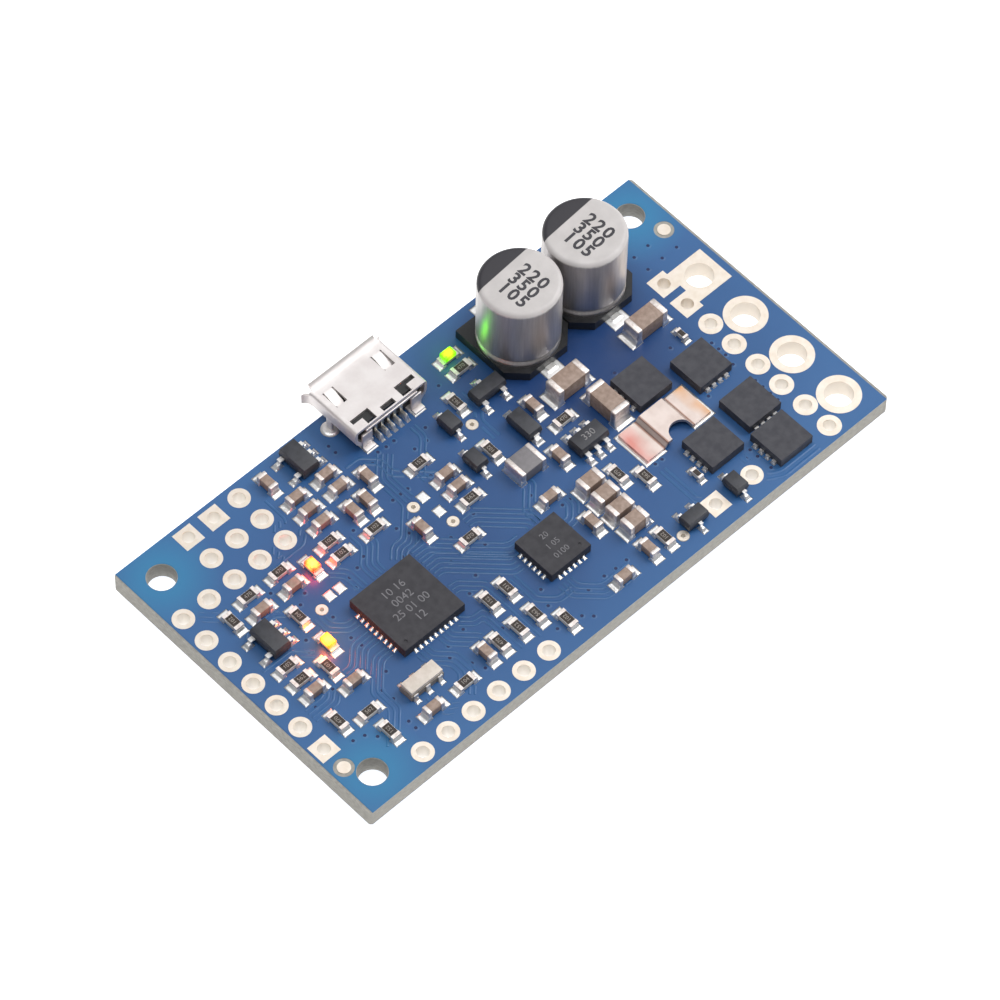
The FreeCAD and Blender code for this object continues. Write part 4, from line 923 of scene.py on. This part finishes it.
# Pad-printed ink, a little paler than the laser's mark.
white_ink = surface("package_print_pale", "#8f8d8e", "#7b797a", 0.1, (0.5, 0.6), 0.003, 0.05, IOR=1.5)


def marking(name, node, lines, size, gap, turn, ink=laser):
    """Rows of plain digits on a package's top face."""
    low, high = corners(node)
    bm = bmesh.new()
    for number, text in enumerate(lines):
        step = ((len(lines) - 1) / 2 - number) * gap
        x = (low.x + high.x) / 2 - math.sin(turn) * step
        y = (low.y + high.y) / 2 + math.cos(turn) * step
        digits(bm, text, size, x, y, high.z + 0.002, turn, 0.004)
    return piece(name, bm, ink, angle=30)


marking("microcontroller_code", "microcontroller_body", ["10 16", "0042", "25 01 00", "12"], 0.95, 1.0, 0)
marking("gate_driver_code", "gate_driver_body", ["20", "1 05", "0100"], 0.7, 0.95, 0)
marking("six_lead_chip_code", "six_lead_chip_body", ["330"], 0.8, 1, 0, white_ink)

# %% [markdown]
# ## Current-sense strap
# A strip of copper-manganese alloy, tinned, with heat tints where it was welded and painted shade as dark
# lines where it is bent.  The CAD shape is right as it is, so only its material is made here; the tint
# follows the distance from each end.

# %% Strap
def strap_metal():
    """Tinned alloy with a pink and an amber wash at its ends and painted shade as brown lines at its bends.
    """
    material, tree, shader, place = start("tinned_resistance_alloy")
    low, high = corners("current_sense_strap")
    cloud = mottle(tree, place, 1.1, detail=2.0)
    colour = blend(tree, cloud, "#e4d6cf", "#d8c8c0")
    axis = add(tree, "SeparateXYZ", {"Vector": place}).outputs[0]
    ends = [(low.x + 1.6, low.x + 0.3, "#d98a80"), (high.x - 1.3, high.x - 0.3, "#dca060")]
    for start_x, end_x, tint in ends:
        wash = add(tree, "MapRange", {"Value": axis, "From Min": start_x * MM, "From Max": end_x * MM,
                                      "To Min": 0.0, "To Max": 0.55})
        patch = mottle(tree, place, 1.6, detail=1.0)
        amount = add(tree, "Math", {0: wash.outputs[0], 1: patch}, operation="MULTIPLY")
        stretched = add(tree, "MapRange", {"Value": amount.outputs[0], "From Min": 0.05, "From Max": 0.35,
                                           "To Min": FIRST, "To Max": 0.62})
        colour = blend(tree, stretched.outputs[0], colour, tint)
    # Painted shade: brown lines where the strip curves away from the light at its bends.
    for shaded_bend_x in (low.x + 1.72, low.x + 2.12, high.x - 1.74):
        apart = add(tree, "Math", {0: axis, 1: shaded_bend_x * MM}, operation="SUBTRACT")
        distance = add(tree, "Math", {0: apart.outputs[0]}, operation="ABSOLUTE").outputs[0]
        line = add(tree, "MapRange", {"Value": distance, "From Min": 0.13 * MM, "From Max": 0.04 * MM,
                                      "To Min": FIRST, "To Max": 0.56})
        colour = blend(tree, line.outputs[0], colour, "#8c5540")
    tree.links.new(colour, shader.inputs["Base Color"])
    brushed = mottle(tree, place, 0.12, detail=3.0, stretch=(1, 0.1, 1))
    bumped = add(tree, "Bump", {"Height": brushed, "Distance": 0.003 * MM, "Strength": 1.0})
    tree.links.new(bumped.outputs[0], shader.inputs["Normal"])
    gloss = add(tree, "MapRange", {"Value": brushed, "To Min": 0.42, "To Max": 0.56})
    tree.links.new(gloss.outputs[0], shader.inputs["Roughness"])
    shader.inputs["Metallic"].default_value = 0.9
    return material


dress(strap_metal(), "current_sense_strap")

# %% [markdown]
# ## Resonator
# A cream ceramic lid glued to a base; the bond shows as a thin amber line.  Only the lid needs softer edges.

# %% Resonator
chips("resonator_lid_block", "resonator_cap", lid_ceramic, 0.04)
dress(glue, "resonator_seam")
dress(brown_ceramic, "resonator_base")

# %% [markdown]
# ## Can capacitors
# The can is drawn from aluminium sheet, rolled in near its foot to hold the bung, and its top is lacquered
# and printed: a dark segment marks the negative side.  Turning one half-section gives the whole can, and a
# straight line across the top, in the material, gives the segment a clean edge.

# %% Profile of a can
def can_profile(floor, ceiling, radius):
    """From the foot up: a rolled bead, a straight wall and a rounded rim to a flat top."""
    bead, rim = 1.1, 0.45
    points = [(0, floor + 0.1), (radius - 0.25, floor), (radius - 0.04, floor + 0.03), (radius, floor + 0.1),
              (radius, floor + bead - 0.4)]
    for step in range(9):
        angle = math.pi * step / 8
        points.append((radius - 0.2 * math.sin(angle) ** 2, floor + bead - 0.3 + 0.6 * step / 8))
    points.append((radius, floor + bead + 0.45))
    for step in range(9):
        angle = math.pi / 2 * step / 8
        points.append((radius - rim + rim * math.cos(angle), ceiling - rim + rim * math.sin(angle)))
    return points + [(0, ceiling)]


print("points up a can's side", len(can_profile(0.0, 8.0, 3.0)))

# %% A can's printed top
CHORD = 1.62
PRINT_TURN = math.radians(4)


def can_print(name, x, y):
    """Lacquered top: warm grey, with a dark segment beyond a chord."""
    material, tree, shader, place = start(name)
    moved = add(tree, "Mapping", {"Vector": place, "Location": (-x * MM, -y * MM, 0)})
    spun = add(tree, "VectorRotate", {"Vector": moved.outputs[0], "Angle": -PRINT_TURN},
               rotation_type="Z_AXIS")
    across = add(tree, "SeparateXYZ", {"Vector": spun.outputs[0]}).outputs[1]
    dark = add(tree, "MapRange", {"Value": across, "From Min": (CHORD - 0.02) * MM,
                                  "From Max": (CHORD + 0.02) * MM, "To Min": FIRST, "To Max": SECOND})
    cloud = mottle(tree, place, 1.2)
    light = blend(tree, cloud, "#cdc8c6", "#c4bfbd")
    tree.links.new(blend(tree, dark.outputs[0], light, "#37353a"), shader.inputs["Base Color"])
    gloss = add(tree, "MapRange", {"Value": cloud, "To Min": 0.36, "To Max": 0.5})
    tree.links.new(gloss.outputs[0], shader.inputs["Roughness"])
    bumped = add(tree, "Bump", {"Height": mottle(tree, place, 0.1), "Distance": 0.003 * MM, "Strength": 1.0})
    tree.links.new(bumped.outputs[0], shader.inputs["Normal"])
    return material


print("the dark segment starts", CHORD, "mm from the middle")

# %% Build the cans
LACQUER_DEPTH = 0.28
DIGIT_ROWS = {"220": 1.0, "350": -0.15, "105": -1.3}
for number in (1, 2):
    low, high = corners(f"capacitor_{number}_can")
    x, y = (low.x + high.x) / 2, (low.y + high.y) / 2
    bm = bmesh.new()
    lathe(bm, can_profile(low.z, high.z, (high.x - low.x) / 2), x, y, 96)
    can = piece(f"drawn_can_{number}", bm, drawn_can, replaces=[f"capacitor_{number}_can"],
                angle=60)
    can.data.materials.append(can_print(f"can_top_print_{number}", x, y))
    for face in can.data.polygons:
        if face.center.z / MM > high.z - LACQUER_DEPTH:
            face.material_index = 1
    bm = bmesh.new()
    for text, along in DIGIT_ROWS.items():
        reach = Matrix.Rotation(PRINT_TURN, 2) @ Vector((along, -0.5))
        digits(bm, text, 1.48, x + reach.x, y + reach.y, high.z + 0.002, PRINT_TURN - math.pi / 2,
               bold=0.045, spacing=1.25)
    piece(f"can_digits_{number}", bm, black_print, angle=30)
dress(stand_plastic, "capacitor_1_base", "capacitor_2_base")
dress(rubber, "capacitor_bungs")
dress(paper_roll, "capacitor_windings")

# %% [markdown]
# ## USB socket
# The shell is one strip of plated steel folded into a ring, flared at the mouth, with springs and tabs cut in
# its top.  The ring is lofted through sections along Y, as the flare widens it towards the mouth.  Plain
# cutters then open the slots, and a boolean keeps their edges crisp.

# %% Shell sections
def shell_loop(inset, grow, half, tall, bevel_w, bevel_h, radius=0.35, steps=4):
    """Points round the socket's section, starting at the lower left."""
    half, low, high = half - inset + grow, inset - grow, tall - inset + grow
    foot = half - bevel_w + inset * 0.4
    hard = [(-foot, low), (foot, low), (half, low + bevel_h), (half, high), (-half, high),
            (-half, low + bevel_h)]
    points = []
    for k, corner in enumerate(hard):
        corner, before, after = Vector(corner), Vector(hard[k - 1]), Vector(hard[(k + 1) % 6])
        reach = max(0.08, radius - inset)
        first = corner + (before - corner).normalized() * reach
        last = corner + (after - corner).normalized() * reach
        for step in range(steps + 1):
            t = step / steps
            points.append(first * (1 - t) ** 2 + corner * 2 * t * (1 - t) + last * t ** 2)
    return points


print("points round the section", len(shell_loop(0, 0, 3.65, 2.5, 0.95, 1.1)))

# %% Build the shell
shell_low, shell_high = corners("usb_shell")
centre = (shell_low.x + shell_high.x) / 2
SHELL_LENGTH = 5.6
mouth, back = shell_high.y, shell_high.y - SHELL_LENGTH
seat = top + 0.05
SHEET = 0.25
HALF, TALL, BEVEL = 3.65, 2.5, (0.95, 1.1)
FLARE = [(0.0, 0.0), (4.9, 0.0), (5.15, 0.03), (5.35, 0.12), (5.5, 0.24), (5.6, 0.36)]
bm = bmesh.new()
loops = []
for along, grow in FLARE:
    outer = shell_loop(0, grow, HALF, TALL, *BEVEL)
    inner = shell_loop(SHEET, grow, HALF, TALL, *BEVEL)
    loops.append([[bm.verts.new((centre + p.x, back + along, seat + p.y)) for p in loop]
                  for loop in (outer, inner)])
count = len(loops[0][0])
for first, second in zip(loops, loops[1:]):
    for side in (0, 1):
        for k in range(count):
            after = (k + 1) % count
            bm.faces.new((first[side][k], first[side][after], second[side][after], second[side][k]))
for outer, inner in (loops[0], loops[-1]):
    for k in range(count):
        after = (k + 1) % count
        bm.faces.new((outer[k], outer[after], inner[after], inner[k]))
shell = piece("folded_shell", bm, matt_tin, replaces=["usb_shell"])

# %% Cut the slots and tabs
cutters = bmesh.new()
deck = seat + TALL - SHEET


def opening(left, right, near, far):
    """A cutter through the top sheet, placed from the shell's middle and rear edge."""
    block(cutters, (centre + left, back + near, deck - 0.1), (centre + right, back + far, deck + 0.6))


def carve(item, cutter_bm):
    """Cuts the drawn shapes out of a piece and keeps the result as its mesh."""
    bmesh.ops.scale(cutter_bm, vec=(MM, MM, MM), verts=cutter_bm.verts)
    bmesh.ops.recalc_face_normals(cutter_bm, faces=cutter_bm.faces)
    mesh = bpy.data.meshes.new("cutter")
    cutter_bm.to_mesh(mesh)
    cutter_bm.free()
    cutter = bpy.data.objects.new("cutter", mesh)
    bpy.context.scene.collection.objects.link(cutter)
    change = item.modifiers.new("cut", "BOOLEAN")
    change.operation = "DIFFERENCE"
    change.solver = "EXACT"
    change.use_self = True
    change.object = cutter
    bpy.context.view_layer.update()
    carved = bpy.data.meshes.new_from_object(item.evaluated_get(bpy.context.evaluated_depsgraph_get()))
    item.modifiers.clear()
    item.data = carved
    bpy.data.objects.remove(cutter)
    carved.shade_smooth()
    carved.set_sharp_from_angle(angle=math.radians(SMOOTH_UP_TO))
    print("carved", item.name, len(carved.polygons), "faces")


SPRING_X, SPRING_NEAR, SPRING_FAR = 2.45, 2.75, 4.4
for side in (-1, 1):
    left, right = sorted((side * 1.34, side * 3.15))
    opening(left, right, 0.78, 1.2)
    left, right = sorted((side * 1.34, side * 2.24))
    opening(left, right, 0.12, 0.9)
    opening(side * SPRING_X - 0.52, side * SPRING_X + 0.52, SPRING_NEAR, SPRING_FAR)
    outside = centre + side * 3.3
    left, right = sorted((outside, outside + side * 1.2))
    block(cutters, (left, mouth - 0.45, seat + TALL - 0.4), (right, mouth + 0.1, seat + TALL + 1))
    block(cutters, (left - 0.2, mouth - 0.45, seat - 0.5), (right + 0.2, mouth + 0.1, seat + 1.0))
opening(-0.63, 0.63, 0.12, 0.62)
block(cutters, (centre - 1.8, back - 0.1, seat - 0.1), (centre + 1.8, back + 0.9, seat + SHEET + 0.1))
carve(shell, cutters)

# %% [markdown]
# ## Springs and legs
# Two tongues of the same sheet bend down to press on a plug.  Thin legs pass through holes in the board,
# where solder holds them, and flat feet stand behind.  They are small and simple, so each is drawn by its
# own few points instead of being folded out of the ring.

# %% Springs, legs, feet and the rear flange
leg_low, leg_high = corners("usb_leg_pads")
leg_y = (leg_low.y + leg_high.y) / 2
print("legs at y", round(leg_y, 3))
bm = bmesh.new()
for side in (-1, 1):
    x = centre + side * SPRING_X
    rows = []
    for step in range(9):
        t = step / 8
        y = back + SPRING_FAR - (SPRING_FAR - SPRING_NEAR - 0.12) * t
        drop = 0.3 * math.sin(t * math.pi / 2) ** 2
        half = 0.4 if t < 0.8 else 0.4 * math.cos((t - 0.8) * 4)
        z = seat + TALL - drop
        rows.append([bm.verts.new((x + dx, y, z + dz)) for dx, dz in
                     ((-half, 0), (half, 0), (half, -SHEET), (-half, -SHEET))])
    for first, second in zip(rows, rows[1:]):
        for k in range(4):
            bm.faces.new((first[k], first[(k + 1) % 4], second[(k + 1) % 4], second[k]))
    bm.faces.new(rows[0])
    bm.faces.new(rows[-1])
    leg = centre + side * (HALF - SHEET / 2)
    block(bm, (leg - 0.12, leg_y - 0.3, 0.0), (leg + 0.12, leg_y + 0.3, seat + 1.4), 0.03)
    foot = centre + side * 2.5
    block(bm, (foot - 0.5, back - 0.12, seat), (foot + 0.5, back + 0.1, seat + 1.7), 0.05)
    block(bm, (foot - 0.5, back - 0.55, seat), (foot + 0.5, back + 0.1, seat + 0.2), 0.05)
block(bm, (centre - 2.6, back - 0.1, deck - 0.35), (centre + 2.6, back + 0.12, deck - 0.12), 0.04)
piece("shell_springs_legs_feet", bm, matt_tin)

# %% Solder on the legs, and the socket's inside
bm = bmesh.new()
for low, high in solids("usb_leg_pads"):
    middle = (low + high) / 2
    lathe(bm, [(0.72, high.z), (0.66, high.z + 0.08), (0.52, high.z + 0.12), (0.3, high.z + 0.1),
               (0.0, high.z + 0.12)], middle.x, middle.y, 32)
piece("socket_leg_solder", bm, solder, angle=80)
dress(socket_plastic, "usb_insulator")
dress(contact_gold, "usb_contacts")

# %% [markdown]
# ## Indicator lamps
# Each lamp is a tiny block of clear resin over a glowing chip.  The middle burns almost white and the colour
# deepens towards the edges, so the emission colour follows the distance from the middle of the lens.  A weak
# point light beside each lens lays its colour on the board, which an emitting block alone does too faintly.

# %% Lamps
# colour: hot middle, cooler edge, strength of the lens, watts that spill on the board
LAMPS = {"green": ("#c0ee20", "#45a800", 2.2, 0.0002), "red": ("#ffc850", "#ff1208", 2.8, 0.0004),
         "yellow": ("#ffd050", "#ff6e00", 2.6, 0.0006)}


def lit_resin(colour, hot, cool, power, middle):
    """Clear resin lit from inside."""
    material, tree, shader, place = start(f"lit_resin_{colour}")
    apart = add(tree, "VectorMath", {0: place, 1: tuple(middle * MM)}, operation="DISTANCE")
    ramp = add(tree, "MapRange", {"Value": apart.outputs["Value"], "From Min": 0.22 * MM,
                                  "From Max": 0.6 * MM, "To Min": FIRST, "To Max": SECOND})
    glow = blend(tree, ramp.outputs[0], hot, cool)
    tree.links.new(glow, shader.inputs["Emission Color"])
    skin = mottle(tree, place, 0.2)
    tree.links.new(blend(tree, skin, cool, hot), shader.inputs["Base Color"])
    bumped = add(tree, "Bump", {"Height": skin, "Distance": 0.004 * MM, "Strength": 1.0})
    tree.links.new(bumped.outputs[0], shader.inputs["Normal"])
    shader.inputs["Emission Strength"].default_value = power
    shader.inputs["Roughness"].default_value = 0.25
    return material


for colour, (hot, cool, power, spill_power) in LAMPS.items():
    low, high = corners(f"led_{colour}_lens")
    middle = (low + high) / 2
    bm = bmesh.new()
    block(bm, low, high, 0.08, 3)
    piece(f"lamp_{colour}", bm, lit_resin(colour, hot, cool, power, middle),
          replaces=[f"led_{colour}_lens"], angle=60)
    glow = bpy.data.lights.new(f"glow_{colour}", "POINT")
    glow.color = linear(cool)[:3]
    glow.energy = spill_power
    glow.shadow_soft_size = 0.0006
    spill = bpy.data.objects.new(f"glow_{colour}", glow)
    spill.location = (middle + Vector((0, 0, 0.42))) * MM
    bpy.context.scene.collection.objects.link(spill)
dress(lamp_plate, "led_bases")

# %% [markdown]
# ## Board and lands
# The laminate shows at the sawn edges, in the screw holes and round the aiming marks; the gold shows wherever
# the mask is open.  Both keep their CAD shape.

# %% Board and lands
dress(laminate, "circuit_board")
dress(gold_flash, "power_terminal_pads", "supply_terminal_pad", "fiducial_pads", "usb_leg_pads")
dress(gold_narrow_painted_light, "header_pads", "switch_pads", "motor_output_pads", "test_points")

# %% [markdown]
# ## Studio
# A plain white floor, a broad soft light high to one side, one overhead and a weak one beyond the corner
# farthest from the camera, with a faint even sky.  A picture of a real studio could light the scene, but
# square lights are easier to read and to move.

# %% Floor
FLOOR_DROP = 1.2
floor_material, tree, shader, place = start("studio_floor_white")
shade = blend(tree, mottle(tree, place, 80.0), "#bdbdbd", "#c2c2c2")
tree.links.new(shade, shader.inputs["Base Color"])
shader.inputs["Emission Color"].default_value = (1, 1, 1, 1)
shader.inputs["Emission Strength"].default_value = 0.96
shader.inputs["Roughness"].default_value = 0.9
bm = bmesh.new()
bmesh.ops.create_grid(bm, x_segments=1, y_segments=1, size=1.5)
floor_mesh = bpy.data.meshes.new("floor")
bm.to_mesh(floor_mesh)
bm.free()
floor_mesh.materials.append(floor_material)
floor = bpy.data.objects.new("floor", floor_mesh)
floor.location.z = -FLOOR_DROP * MM
bpy.context.scene.collection.objects.link(floor)
print("floor", FLOOR_DROP, "mm below the board")

# %% Lights
world = bpy.data.worlds.new("sky")
world.use_nodes = True
world.node_tree.nodes["Background"].inputs["Color"].default_value = (0.95, 0.97, 1.0, 1)
world.node_tree.nodes["Background"].inputs["Strength"].default_value = 0.3
bpy.context.scene.world = world


def soft_light(name, place, size, power):
    """A square light that faces the board."""
    light = bpy.data.lights.new(name, "AREA")
    light.size = size
    light.energy = power
    item = bpy.data.objects.new(name, light)
    item.location = place
    item.rotation_euler = (-Vector(place)).to_track_quat("-Z", "Y").to_euler()
    bpy.context.scene.collection.objects.link(item)


soft_light("key", (0.33, -0.08, 0.38), 0.3, 1.5)
soft_light("overhead", (-0.06, -0.02, 0.5), 0.3, 1.0)
soft_light("far_side", (0.2, 0.2, 0.42), 0.3, 0.16)
bpy.context.scene.view_settings.view_transform = "Standard"
print("lights", [light.name for light in bpy.data.lights])

# %% [markdown]
# ## Camera
# A long lens, about half a metre away, looks along the diagonal of the board and down at 57 degrees.  It
# keeps parallel lines nearly parallel, as product pictures do.

# %% Camera
camera_data = bpy.data.cameras.new("camera")
camera_data.lens = 230.2
camera_data.sensor_width = 36
camera_data.clip_end = 5
camera = bpy.data.objects.new("camera", camera_data)
eye = Vector((-0.18561, -0.18594, 0.40004))
heading, drop, roll = math.radians(45.124), math.radians(56.726), math.radians(1.564)
forward = Vector((math.cos(heading) * math.cos(drop), math.sin(heading) * math.cos(drop), -math.sin(drop)))
turn = forward.to_track_quat("-Z", "Y").to_matrix() @ Matrix.Rotation(roll, 3, "Z")
camera.matrix_world = Matrix.LocRotScale(eye, turn.to_quaternion(), None)
bpy.context.scene.collection.objects.link(camera)
bpy.context.scene.camera = camera
print("camera", tuple(round(number, 3) for number in camera.matrix_world.translation))
